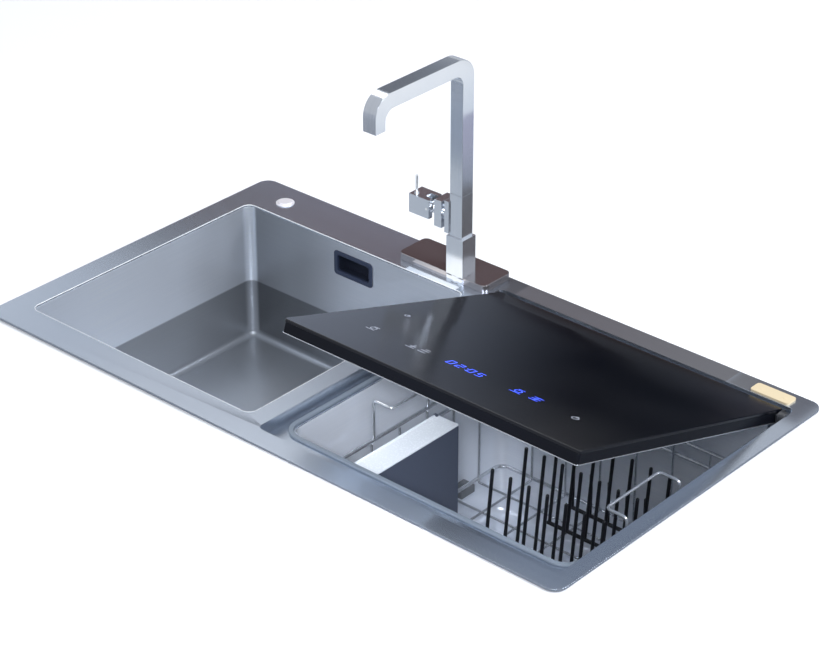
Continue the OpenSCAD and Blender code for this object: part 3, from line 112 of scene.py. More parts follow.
def shadeCurve(tree, source, stops):
    # a piecewise curve: each stop is (place in mm, factor), drawn as a grey ramp times the brightest factor
    brightest = 1.25
    low, high = stops[0][0], stops[-1][0]
    share = addNode(tree, "ShaderNodeMapRange", inputs={
        "Value": source, "From Min": low * mm, "From Max": high * mm})
    ramp = addNode(tree, "ShaderNodeValToRGB", inputs={"Fac": share.outputs[0]})
    ramp.color_ramp.interpolation = "EASE"
    while len(ramp.color_ramp.elements) < len(stops):
        ramp.color_ramp.elements.new(0.5)
    for element, (place, factor) in zip(ramp.color_ramp.elements, stops):
        element.position = (place - low) / (high - low)
        element.color = (factor / brightest,) * 3 + (1.0,)
    scaled = addNode(tree, "ShaderNodeMath", {"operation": "MULTIPLY"}, {
        0: ramp.outputs["Color"], 1: brightest})
    return scaled.outputs[0]


def bandShade(tree, band):
    # painted shade: the bowl's colour is darkened below one level line, standing for the shade on the lower
    # walls and for the water line
    level = addNode(tree, "ShaderNodeMapRange", {"interpolation_type": "SMOOTHSTEP"}, {
        "Value": objectPlace(tree).outputs["Z"], "From Min": band[0] * mm, "From Max": band[1] * mm,
        "To Min": band[2], "To Max": 1.0})
    return level.outputs[0]


def wallShade(tree, walls):
    # painted reflection and shade: each wall is darkened near the corner, where it mirrors the darker wall
    # beside it, and the corner itself carries a painted highlight
    at = objectPlace(tree)
    backShade = shadeCurve(tree, at.outputs["X"], walls["alongX"])
    sideShade = shadeCurve(tree, at.outputs["Y"], walls["alongY"])
    isBack = addNode(tree, "ShaderNodeMapRange", inputs={
        "Value": at.outputs["Y"], "From Min": walls["backMm"][0] * mm, "From Max": walls["backMm"][1] * mm})
    isWall = addNode(tree, "ShaderNodeMapRange", inputs={
        "Value": at.outputs["Z"], "From Min": walls["footMm"][0] * mm, "From Max": walls["footMm"][1] * mm})
    shade = addNode(tree, "ShaderNodeMix", inputs={0: isBack.outputs[0], 2: sideShade, 3: backShade})
    onWall = addNode(tree, "ShaderNodeMix", inputs={
        0: isWall.outputs[0], 2: walls["floor"], 3: shade.outputs[0]})
    return onWall.outputs[0]


def finishSurface(tree, shader, noise, roughness, spread, bump):
    # the noise that colours the surface also varies its roughness a little and gives it relief
    low = max(roughness - spread, 0.0)
    tree.links.new(noiseRange(tree, noise, low, roughness + spread), shader.inputs["Roughness"])
    relief = addNode(tree, "ShaderNodeBump", inputs={
        "Strength": bump, "Distance": bumpDepth, "Height": noise.outputs["Fac"]})
    tree.links.new(relief.outputs[0], shader.inputs["Normal"])


# Brushed stainless steel: rolled sheet, belt-brushed, so it shows long soft streaks along the belt.
# The real scratches are 0.05 mm wide and are drawn about 1 mm wide, because finer ones don't show.
# The same function draws the other bare metals with rounder grain: galvanised sheet, wire, brass, cast alloy.
steel = {"streakDetail": 3.0, "cloudMm": (260, 220, 180), "cloudDetail": 1.0, "spread": 0.01}


def brushedSteel(name, look):
    material, tree, shader = newMaterial(name, {"Metallic": look["metallic"]})
    streaks = grainNoise(tree, look["grainMm"], steel["streakDetail"])
    cloud = grainNoise(tree, steel["cloudMm"], steel["cloudDetail"])
    tone = addNode(tree, "ShaderNodeValToRGB", inputs={"Fac": streaks.outputs["Fac"]})
    for element, position, hexText in zip(tone.color_ramp.elements, noiseSpan, (look["dark"], look["light"])):
        element.position = position
        element.color = linearColour(hexText)
    colour = scaleColour(tree, tone.outputs["Color"], noiseRange(tree, cloud, 1 - look["cloud"], 1.0))
    # painted shade and highlight on the bowl: a darker band below one line, walls darker near the corner, a
    # bright corner line
    if "band" in look:
        colour = scaleColour(tree, colour, bandShade(tree, look["band"]))
    if "walls" in look:
        colour = scaleColour(tree, colour, wallShade(tree, look["walls"]))
    tree.links.new(colour, shader.inputs["Base Color"])
    finishSurface(tree, shader, streaks, look["roughness"], steel["spread"], look["bump"])
    return material


# Moulded, rubber, painted or polished surfaces: a plain colour with a fine grain that breaks up the highlight
plain = {"ior": 1.5, "detail": 2.0, "spread": 0.06, "bump": 0.1}


def plainFinish(name, look):
    values = {"Base Color": linearColour(look["colour"]), "Metallic": look.get("metallic", 0.0),
              "Coat Weight": look.get("coat", 0.0)}
    if "metallic" not in look:
        values["IOR"] = look.get("ior", plain["ior"])
    material, tree, shader = newMaterial(name, values)
    grain = grainNoise(tree, (look["grainMm"],) * 3, plain["detail"])
    finishSurface(tree, shader, grain, look["roughness"], plain["spread"], look.get("bump", plain["bump"]))
    return material


steelLooks = {
    # rolled sheet brushed along X: long soft streaks from left to right
    "deckSteel": {"dark": "#c5ceda", "light": "#c9d2de", "cloud": 0.03, "roughness": 0.25, "metallic": 0.93,
                  "grainMm": (160, 0.9, 0.9), "bump": 0.0015},
    # pressed sheet brushed along its walls: paler and softer than the deck; painted shade darkens it below
    # one line and near the corner, with a painted highlight up the corner
    "bowlSteel": {"dark": "#d9e0e9", "light": "#dfe5ed", "cloud": 0.04, "roughness": 0.34, "metallic": 0.7,
                  "grainMm": (140, 140, 0.9), "bump": 0.002, "band": (-111, -108, 0.42),
                  "walls": {"alongX": [(-416, 1.25), (-408, 1.25), (-402, 0.42), (-330, 0.5), (-200, 1.0),
                                       (-36, 1.08)],
                            "alongY": [(-206, 1.12), (-90, 1.25), (30, 1.2), (120, 0.94), (163, 0.84),
                                       (170, 1.25)],
                            "backMm": (172, 176), "footMm": (-192, -184), "floor": 1.02}},
    # pressed satin sheet: pale and nearly even
    "tubSteel": {"dark": "#dfe5ee", "light": "#e6ebf2", "cloud": 0.04, "roughness": 0.3, "metallic": 0.42,
                 "grainMm": (140, 140, 0.9), "bump": 0.002},
    # square tube brushed lengthwise: almost a mirror, its reflections drawn up and down
    "tapSteel": {"dark": "#cfd5dd", "light": "#d7dce3", "cloud": 0.02, "roughness": 0.15, "metallic": 0.88,
                 "grainMm": (0.9, 90, 120), "bump": 0.002},
    # the same brushing on the tap's plate, drawn darker and warmer: painted reflection of the darker side of
    # the room that it mirrors
    "shadedPlateSteel": {"dark": "#aaa8ab", "light": "#b0adb0", "cloud": 0.02, "roughness": 0.15, "metallic": 0.88,
                   "grainMm": (0.9, 90, 120), "bump": 0.002},
    # polished sheet: crisp reflections, faint streaks
    "brightSteel": {"dark": "#d3d8de", "light": "#dfe3e8", "cloud": 0.02, "roughness": 0.2, "metallic": 0.9,
                    "grainMm": (30, 0.9, 0.9), "bump": 0.02},
    # galvanised sheet: dull grey with soft blotches about 9 mm wide
    "casingSteel": {"dark": "#9ea3a8", "light": "#b4b8bc", "cloud": 0.06, "roughness": 0.4, "metallic": 0.9,
                    "grainMm": (9, 9, 9), "bump": 0.06},
    # electropolished wire: thin bright lines
    "rackWire": {"dark": "#d3d8de", "light": "#e6e9ed", "cloud": 0.01, "roughness": 0.22, "metallic": 0.85,
                 "grainMm": (8, 8, 8), "bump": 0.03},
    # machined brass: warm yellow with a soft sheen
    "brassNut": {"dark": "#b08d46", "light": "#c9a75f", "cloud": 0.04, "roughness": 0.32, "metallic": 1.0,
                 "grainMm": (6, 6, 6), "bump": 0.04},
    # die-cast aluminium: dull grey with a pebbled skin
    "motorAlloy": {"dark": "#8b8f93", "light": "#a3a7ab", "cloud": 0.05, "roughness": 0.45, "metallic": 0.9,
                   "grainMm": (3, 3, 3), "bump": 0.2},
}
plainLooks = {
    # chromium plate: a clear, colourless mirror
    "chromePlate": {"colour": "#eef0f2", "metallic": 0.9, "roughness": 0.14, "grainMm": 20, "bump": 0.0},
    # toughened glass printed black from below: deep black under sharp reflections
    "lidGlass": {"colour": "#06080f", "roughness": 0.16, "grainMm": 300, "bump": 0.0},
    # black enamelled steel edge: a low sheen that stays dark
    "lidTrim": {"colour": "#0c0e14", "roughness": 0.36, "ior": 1.22, "grainMm": 40, "bump": 0.0},
    # nylon-dipped wire: dark with a soft highlight
    "tineCoat": {"colour": "#15161a", "roughness": 0.4, "grainMm": 1.5, "bump": 0.05},
    # moulded rubber gasket: matt mid grey
    "greyRubber": {"colour": "#727c87", "roughness": 0.6, "grainMm": 1.5, "bump": 0.1},
    # moulded rubber: matt black
    "blackRubber": {"colour": "#17181a", "roughness": 0.65, "grainMm": 1.5, "bump": 0.2},
    # closed-cell foam strip: dull, with coarse pores
    "sealFoam": {"colour": "#2a2b2d", "roughness": 0.9, "grainMm": 0.8, "bump": 0.6},
    # moulded polypropylene: blue-black with a faint sheen
    "darkPlastic": {"colour": "#1c212e", "roughness": 0.42, "grainMm": 1.2, "bump": 0.12},
    # the same polypropylene with painted light: a lighter copy for the overflow's cover
    "slotPlastic": {"colour": "#2e374c", "roughness": 0.42, "grainMm": 1.2, "bump": 0.12},
    # moulded polypropylene: even mid grey
    "greyPlastic": {"colour": "#6d7176", "roughness": 0.45, "grainMm": 1.5, "bump": 0.1},
    # moulded polypropylene: warm off-white
    "whitePlastic": {"colour": "#dcdcd8", "roughness": 0.42, "grainMm": 1.5, "bump": 0.08},
    # moulded ABS: smooth slate grey
    "boxPlastic": {"colour": "#4b5261", "roughness": 0.35, "grainMm": 2.0, "bump": 0.04},
    # painted highlight: a pale, mostly matt bead drawn as one bright thin line along the bowl's edge
    "highlightBead": {"colour": "#eef2f6", "metallic": 0.4, "roughness": 0.3, "grainMm": 12, "bump": 0.0},
    # satin-chromed ABS: pale silver without sharp reflections
    "buttonFinish": {"colour": "#f7f6fa", "metallic": 0.35, "roughness": 0.22, "grainMm": 30, "bump": 0.0},
    # glossy moulded ABS: nearly white with a clear highlight
    "basketPlastic": {"colour": "#e2e8ed", "roughness": 0.25, "grainMm": 2.0, "bump": 0.04, "coat": 0.3},
    # moulded ABS in ivory: warm and plain
    "coverPlastic": {"colour": "#cfbf9e", "roughness": 0.4, "grainMm": 2.0, "bump": 0.05},
    # black-passivated steel: dark grey, soft sheen
    "hingeMetal": {"colour": "#2b2d31", "roughness": 0.35, "grainMm": 1.2, "bump": 0.1},
    # circuit board under its solder mask: even green, slight gloss
    "boardGreen": {"colour": "#1f5a3a", "roughness": 0.4, "grainMm": 2.0, "bump": 0.1},
}
materials = {name: brushedSteel(name, look) for name, look in steelLooks.items()}
materials.update({name: plainFinish(name, look) for name, look in plainLooks.items()})
print("materials made:", len(materials))

bodyOfNode = {}
for bodyName, members in frame["record"]["behaviour"]["bodies"].items():
    for member in members:
        bodyOfNode[member] = bodyName


def paint(obj, materialName):
    obj.data.materials.clear()
    obj.data.materials.append(materials[materialName])


smoothDegrees = {"cadNodes": 28, "softCopies": 32}


def smoothShade(obj, degrees=smoothDegrees["softCopies"]):
    obj.data.polygons.foreach_set("use_smooth", np.ones(len(obj.data.polygons), dtype=bool))
    obj.data.set_sharp_from_angle(angle=math.radians(degrees))


# how softCopy cleans and rounds a CAD mesh
softEdge = {"bevelDegrees": 34, "mergeMm": 0.002, "flatDegrees": 0.5, "foldRadians": 0.6, "foldSteps": 6}


def addBevel(obj, widthMm, segments=3):
    bevel = obj.modifiers.new("edge", "BEVEL")
    bevel.width = widthMm * mm
    bevel.segments = segments
    bevel.limit_method = "ANGLE"
    bevel.angle_limit = math.radians(softEdge["bevelDegrees"])
    bevel.harden_normals = True


def newPiece(pieceName, mesh):
    piece = bpy.data.objects.new(pieceName, mesh)
    bpy.context.scene.collection.objects.link(piece)
    return piece


def softCopy(nodeName, pieceName, materialName, widthMm, segments=3, folds=()):
    # a merged copy of the CAD node with rounded edges; folds are (test on an edge, radius in mm)
    shape = bmesh.new()
    shape.from_mesh(frame["nodes"][nodeName].data)
    bmesh.ops.remove_doubles(shape, verts=shape.verts, dist=softEdge["mergeMm"] * mm)
    bmesh.ops.dissolve_limit(shape, angle_limit=math.radians(softEdge["flatDegrees"]), verts=shape.verts,
                             edges=shape.edges, delimit={"NORMAL"})
    for test, radius in folds:
        chosen = [edge for edge in shape.edges
                  if edge.is_manifold and edge.calc_face_angle(0) > softEdge["foldRadians"] and test(edge)]
        bmesh.ops.bevel(shape, geom=chosen, offset=radius * mm, segments=softEdge["foldSteps"], profile=0.5,
                        affect="EDGES")
    mesh = bpy.data.meshes.new(pieceName)
    shape.to_mesh(mesh)
    shape.free()
    piece = newPiece(pieceName, mesh)
    smoothShade(piece)
    addBevel(piece, widthMm, segments)
    paint(piece, materialName)
    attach(piece, bodyOfNode[nodeName])
    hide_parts(nodeName)
    return piece


def meshPiece(pieceName, points, faces, materialName, bodyName):
    mesh = bpy.data.meshes.new(pieceName)
    mesh.from_pydata(points.tolist(), [], faces.tolist())
    mesh.update()
    piece = newPiece(pieceName, mesh)
    paint(piece, materialName)
    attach(piece, bodyName)
    return piece


# Bowl and tub: the CAD shell with the fold between wall and floor rounded as pressed steel is.
# boxMm is the inside: left, right, front and back; a fold's edge lies within zoneMm of it.
bowl = {"floorMm": -195, "wallMm": 1.2, "foldMm": 9, "boxMm": (-416.5, -36.5, -206, 177)}
tub = {"floorMm": -308, "wallMm": 1.0, "foldMm": 12, "boxMm": (5.6, 413.9, -183.5, 199.5)}
fold = {"zoneMm": 20, "slackMm": 0.05}


def floorFold(part, inner):
    level = (part["floorMm"] if inner else part["floorMm"] - part["wallMm"]) * mm
    left, right, front, back = (side * mm for side in part["boxMm"])

    def test(edge):
        ends = [vertex.co for vertex in edge.verts]
        if any(abs(end.z - level) > fold["slackMm"] * mm for end in ends):
            return False
        return all(min(end.x - left, right - end.x, end.y - front, back - end.y) < fold["zoneMm"] * mm
                   for end in ends)
    return test


def foldedShell(nodeName, pieceName, materialName, part, widthMm):
    softCopy(nodeName, pieceName, materialName, widthMm, 2, [
        (floorFold(part, True), part["foldMm"]), (floorFold(part, False), part["foldMm"] + part["wallMm"])])


foldedShell("sink_bowl", "bowlShell", "bowlSteel", bowl, 0.5)
foldedShell("wash_tub", "tubShell", "tubSteel", tub, 0.4)
print("bowl and tub made")

# A painted highlight round the bowl's opening: a pale, mostly matt bead along a rounded rectangle, drawing
# the bright line of its rounded edge
lip = {"leftMm": -416.5, "rightMm": -36.5, "frontMm": -206, "backMm": 177, "cornerMm": 12, "heightMm": 4.4,
       "beadMm": 0.75, "arcSteps": 8, "roundSteps": 10, "smoothDegrees": 60}


def beadRing(pieceName, ring, materialName, bodyName):
    # path: corner centre + r * (cos t, sin t); bead: path + b * (cos v * outward + sin v * up)
    r, steps = ring["cornerMm"], ring["arcSteps"]
    quarter = np.linspace(0, np.pi / 2, steps)
    left, right, front, back = (ring[side] for side in ("leftMm", "rightMm", "frontMm", "backMm"))
    centres = np.array([(right - r, back - r), (left + r, back - r), (left + r, front + r),
                        (right - r, front + r)])
    t = (quarter[None, :] + np.arange(4)[:, None] * np.pi / 2).ravel()
    outward = np.stack([np.cos(t), np.sin(t)], axis=1)
    path = np.repeat(centres, steps, axis=0) + outward * r
    v = np.linspace(0, 2 * np.pi, ring["roundSteps"], endpoint=False)
    flat = path[:, None, :] + outward[:, None, :] * np.cos(v)[None, :, None] * ring["beadMm"]
    height = np.broadcast_to(ring["heightMm"] + ring["beadMm"] * np.sin(v), flat.shape[:2])
    points = np.concatenate([flat, height[:, :, None]], axis=2).reshape(-1, 3) * mm
    i, j = np.meshgrid(np.arange(len(path)), np.arange(len(v)), indexing="ij")
    nextI, nextJ = (i + 1) % len(path), (j + 1) % len(v)
    faces = np.stack([i * len(v) + j, nextI * len(v) + j, nextI * len(v) + nextJ, i * len(v) + nextJ],
                     axis=-1)
    piece = meshPiece(pieceName, points, faces.reshape(-1, 4), materialName, bodyName)
    smoothShade(piece, ring["smoothDegrees"])


beadRing("bowlLip", lip, "highlightBead", "sink_unit")
print("bowl's highlight bead made")

# The tap foot's front wall runs down over the plate's edge to the deck: a thin panel with rounded edges
apron = {"xMm": (-79.2, -52.8), "yMm": (190.1, 191.4), "zMm": (3.8, 13.4), "roundMm": 0.4}


def edgePanel(pieceName, panel, materialName, bodyName):
    # corners: every pairing of the two x, y and z places; faces: the box's six sides, outwards
    gx, gy, gz = np.meshgrid(panel["xMm"], panel["yMm"], panel["zMm"], indexing="ij")
    points = np.stack([gx.ravel(), gy.ravel(), gz.ravel()], axis=1) * mm
    faces = np.array([(0, 1, 3, 2), (4, 6, 7, 5), (0, 4, 5, 1), (2, 3, 7, 6), (0, 2, 6, 4), (1, 5, 7, 3)])
    piece = meshPiece(pieceName, points, faces, materialName, bodyName)
    addBevel(piece, panel["roundMm"])


edgePanel("footApron", apron, "tapSteel", "sink_unit")
print("tap foot's apron made")

# CAD nodes that get rounded edges: piece name, material, edge radius in mm, segments
softParts = {
    "deck": ("deckPlate", "deckSteel", 0.9, 3),
    "overflow_cover": ("overflowFrame", "slotPlastic", 0.4, 2),
    "waste_body": ("wasteCup", "brightSteel", 0.5, 3),
    "waste_plug": ("wastePlug", "brightSteel", 0.8, 3),
    "drain_button": ("drainButton", "buttonFinish", 1.0, 4),
    "drain_actuator": ("buttonCollar", "buttonFinish", 0.5, 3),
    "tap_plate": ("tapPlate", "shadedPlateSteel", 1.0, 3),
    "tap_body": ("tapFoot", "tapSteel", 0.8, 3),
    "tap_nut": ("shankNut", "brassNut", 0.6, 2),
    "tap_spout": ("tapSpout", "tapSteel", 1.1, 3),
    "mixer_flange": ("mixerFlange", "tapSteel", 0.8, 3),
    "mixer_bar": ("mixerBar", "tapSteel", 0.9, 3),
    "mixer_handle": ("mixerHandle", "tapSteel", 0.9, 3),
    "lid_glass": ("lidGlass", "lidGlass", 0.8, 3),
    "lid_frame": ("lidFrame", "lidTrim", 0.6, 2),
    "lid_panel": ("lidPanel", "brightSteel", 0.3, 2),
    "lid_gasket": ("lidGasket", "greyRubber", 0.9, 3),
    "hinge_brackets": ("hingeBrackets", "hingeMetal", 0.4, 2),
    "hinge_cover": ("hingeCover", "coverPlastic", 0.7, 3),
    "cutlery_box": ("cutleryBox", "boxPlastic", 0.7, 3),
    "cutlery_lid": ("cutleryLid", "basketPlastic", 0.6, 3),
    "casing_wrap": ("casingWrap", "casingSteel", 0.3, 2),
    "casing_back": ("casingBack", "casingSteel", 0.3, 2),
    "base_tray": ("baseTray", "darkPlastic", 0.6, 2),
    "rack_rests": ("rackRests", "greyPlastic", 1.2, 3),
    "control_box": ("controlBox", "whitePlastic", 1.0, 3),
    "bowl_pads": ("bowlPads", "blackRubber", 0.8, 2),
    "rim_clips": ("rimClips", "casingSteel", 0.4, 2),
    "inlet_valve": ("inletValve", "whitePlastic", 0.8, 2),
    "spray_arm": ("sprayArm", "greyPlastic", 1.5, 3),
    "pump_motor": ("pumpMotor", "motorAlloy", 0.5, 2),
}
for nodeName, (pieceName, materialName, widthMm, segments) in softParts.items():
    softCopy(nodeName, pieceName, materialName, widthMm, segments)
print("soft-edged copies made:", len(softParts))

# CAD nodes whose own mesh is shown
plainParts = {
    "rim_seal": "sealFoam", "overflow_pipe": "darkPlastic", "waste_tail": "whitePlastic",
    "tap_aerator": "chromePlate", "mixer_cartridge": "whitePlastic", "mixer_collar": "chromePlate",
    "mixer_pin": "chromePlate", "mixer_lever": "chromePlate", "sump": "darkPlastic",
    "tub_filter": "brightSteel", "spray_hub": "darkPlastic", "pump_housing": "whitePlastic",
    "pump_impeller": "greyPlastic", "flow_heater": "brightSteel", "wash_pipes": "blackRubber",
    "drain_pump": "whitePlastic", "drain_impeller": "greyPlastic", "drain_motor": "motorAlloy",
    "drain_tail": "greyPlastic", "leak_float": "whitePlastic", "control_board": "boardGreen",
    "cable_gland": "darkPlastic", "rack_frame": "rackWire", "rack_tines": "tineCoat",
    "touch_board": "boardGreen", "hinge_pins": "brightSteel",
}
for nodeName, materialName in plainParts.items():
    paint(frame["nodes"][nodeName], materialName)
print("plain nodes painted:", len(plainParts))

# Marks on the lid's glass: strokes given as (x, s) in mm, where s runs from the hinge axis to the front edge.
# A stroke is [x, s of its start, x, s of its end]; a ring is (x, s, radius).
lidMarks = {"hingeY": 200.5, "hingeZ": -0.7, "glassTop": 8.3, "openDegrees": 18, "liftMm": 0.06,
            "strokeMm": 0.9}


def onLid(x, s):
    # turned about the hinge line: y' = y cos a + z sin a, z' = z cos a - y sin a
    a = math.radians(lidMarks["openDegrees"])
    y, z = -s, lidMarks["glassTop"] + lidMarks["liftMm"] - lidMarks["hingeZ"]
    return np.stack([x, lidMarks["hingeY"] + y * math.cos(a) + z * math.sin(a),
                     lidMarks["hingeZ"] + z * math.cos(a) - y * math.sin(a)], axis=-1) * mm


def strokeMesh(pieceName, strokes, materialName):
    # each stroke is a thin rectangle: its two ends pushed out sideways and lengthwise by half a width
    ends = np.array(strokes, dtype=float)
    start, stop = ends[:, :2], ends[:, 2:]
    along = stop - start
    along /= np.linalg.norm(along, axis=1, keepdims=True)
    side = np.stack([-along[:, 1], along[:, 0]], axis=1) * lidMarks["strokeMm"] / 2
    reach = along * lidMarks["strokeMm"] / 2
    corners = np.stack([start - reach - side, stop + reach - side, stop + reach + side, start - reach + side],
                       axis=1)
    flat = corners.reshape(-1, 2)
    points = onLid(flat[:, 0], flat[:, 1])
    faces = np.arange(len(flat)).reshape(-1, 4)
    return meshPiece(pieceName, points, faces[:, ::-1], materialName, "glass_lid")


def glowFinish(name, hexText, strength):
    materials[name] = newMaterial(name, {
        "Base Color": linearColour(hexText), "Emission Color": linearColour(hexText),
        "Emission Strength": strength, "Roughness": 0.4})[0]


glowFinish("paleMark", "#b9bfcc", 0.1)  # printed marks: pale grey ink, faintly lit from behind
glowFinish("blueMark", "#3d5bff", 2.2)  # the lit display
# the display's four digits, each as the bars that are lit, and the colon between them
clock = {"leftMm": 166, "pitchMm": 13, "gapMm": 3, "topMm": 302, "widthMm": 7, "heightMm": 13,
         "shown": [(0, 1, 2, 3, 4, 5), (0, 1, 6, 4, 3), (0, 1, 2, 3, 4, 5), (0, 5, 6, 2, 3)],
         "colon": [[191.5, 305.5, 191.5, 306], [191.5, 311.5, 191.5, 312]]}


def digitStrokes(x, s, shown):
    # seven bars: top, upper right, lower right, bottom, lower left, upper left, middle
    bars = np.array([[0, 0, 1, 0], [1, 0, 1, .5], [1, .5, 1, 1], [0, 1, 1, 1], [0, .5, 0, 1], [0, 0, 0, .5],
                     [0, .5, 1, .5]])
    size = [clock["widthMm"], clock["heightMm"]] * 2
    return (bars[list(shown)] * size + [x, s, x, s]).tolist()


def clockStrokes():
    strokes = list(clock["colon"])
    for index, shown in enumerate(clock["shown"]):
        gap = clock["gapMm"] if index > 1 else 0  # room for the colon after the second digit
        strokes += digitStrokes(clock["leftMm"] + index * clock["pitchMm"] + gap, clock["topMm"], shown)
    return strokes


def ringStrokes(x, s, r, count=10):
    # a circle as a chain of short chords
    t = np.linspace(0, 2 * np.pi, count + 1)
    px, ps = x + r * np.cos(t), s + r * np.sin(t)
    return np.stack([px[:-1], ps[:-1], px[1:], ps[1:]], axis=1).tolist()


def markPiece(pieceName, materialName, rings, strokes):
    strokeMesh(pieceName, sum((ringStrokes(*ring) for ring in rings), []) + strokes, materialName)


markPiece("paleMarks", "paleMark", rings=[(31, 222, 3.2), (53, 309, 4.0), (348, 312, 4.2)], strokes=[
    [31, 217, 31, 222], [47, 316, 59, 316], [49, 303, 57, 303], [109, 318, 121, 318], [111, 312, 119, 312],
    [115, 306, 115, 318], [126, 310, 137, 310], [126, 317, 137, 317], [128, 304, 135, 304],
    [348, 306, 348, 311]])
markPiece("blueMarks", "blueMark", rings=[(265, 307, 4.5)], strokes=clockStrokes() + [
    [258, 314, 272, 314], [261, 300, 269, 300], [284, 301, 296, 301], [284, 307, 296, 307],
    [284, 313, 296, 313], [290, 301, 290, 313]])
print("lid marks made")

for node in frame["nodes"].values():
    if node.data.polygons:
        smoothShade(node, smoothDegrees["cadNodes"])  # the CAD's own mesh, round faces shaded smoothly

# Floor: the worktop plane that the rim lies on, with the unit's cut-out; reflections see a toned-down floor
floor = {"halfMm": 9000, "cutMm": (440, 237), "zMm": -0.2, "colour": "#f4f5f7", "roughness": 0.8,
         "runMm": (-800, -200), "left": "#b0b5bf", "right": "#8d929c"}


def toneAlongX(tree, card):
    # a plain glow whose tone runs along X from the left colour to the right one
    place = addNode(tree, "ShaderNodeTexCoord")
    along = addNode(tree, "ShaderNodeSeparateXYZ", inputs={0: place.outputs["Object"]})
    share = addNode(tree, "ShaderNodeMapRange", {"interpolation_type": "SMOOTHSTEP"}, {
        "Value": along.outputs["X"], "From Min": card["runMm"][0] * mm, "From Max": card["runMm"][1] * mm})
    ramp = addNode(tree, "ShaderNodeValToRGB", inputs={"Fac": share.outputs[0]})
    ramp.color_ramp.elements[0].color = linearColour(card["left"])
    ramp.color_ramp.elements[1].color = linearColour(card["right"])
    return addNode(tree, "ShaderNodeEmission", inputs={
        "Color": ramp.outputs["Color"], "Strength": card.get("strength", 1.0)})


def floorFinish():
    material, tree, shader = newMaterial("paleFloor", {
        "Base Color": linearColour(floor["colour"]), "Roughness": floor["roughness"]})
    rays = addNode(tree, "ShaderNodeLightPath")
    toned = toneAlongX(tree, floor)
    blend = addNode(tree, "ShaderNodeMixShader", inputs={
        0: rays.outputs["Is Glossy Ray"], 1: shader.outputs[0], 2: toned.outputs[0]})
    output = next(node for node in tree.nodes if node.type == "OUTPUT_MATERIAL")
    tree.links.new(blend.outputs[0], output.inputs["Surface"])
    return material


def stagePiece(name, points, faces, material):
    mesh = bpy.data.meshes.new(name)
    mesh.from_pydata(points.tolist(), [], faces)
    obj = newPiece(name, mesh)
    obj.data.materials.append(material)
    return obj


def floorMesh():
    # eight quads round a rectangular hole: a 4 by 4 grid of points without its middle cell
    h, (cx, cy) = floor["halfMm"], floor["cutMm"]
    gx, gy = np.meshgrid([-h, -cx, cx, h], [-h, -cy, cy, h])
    points = np.stack([gx.ravel(), gy.ravel(), np.full(gx.size, floor["zMm"])], axis=1) * mm
    cell = np.array([0, 1, 5, 4])
    starts = np.array([row * 4 + column for row in range(3) for column in range(3)
                       if (row, column) != (1, 1)])
    stagePiece("floor", points, (starts[:, None] + cell).tolist(), floorFinish())


floorMesh()


def reflectionCard(name, card):
    # a flat card seen only in reflections; its tone runs along X from the left colour to the right one
    material = bpy.data.materials.new(name)
    material.use_nodes = True
    tree = material.node_tree
    tree.nodes.clear()
    glow = toneAlongX(tree, card)
    addNode(tree, "ShaderNodeOutputMaterial", inputs={"Surface": glow.outputs[0]})
    obj = stagePiece(name, np.array(card["corners"]) * mm, [(0, 1, 2, 3)], material)
    obj.visible_camera = False
    obj.visible_diffuse = False
    obj.visible_shadow = False


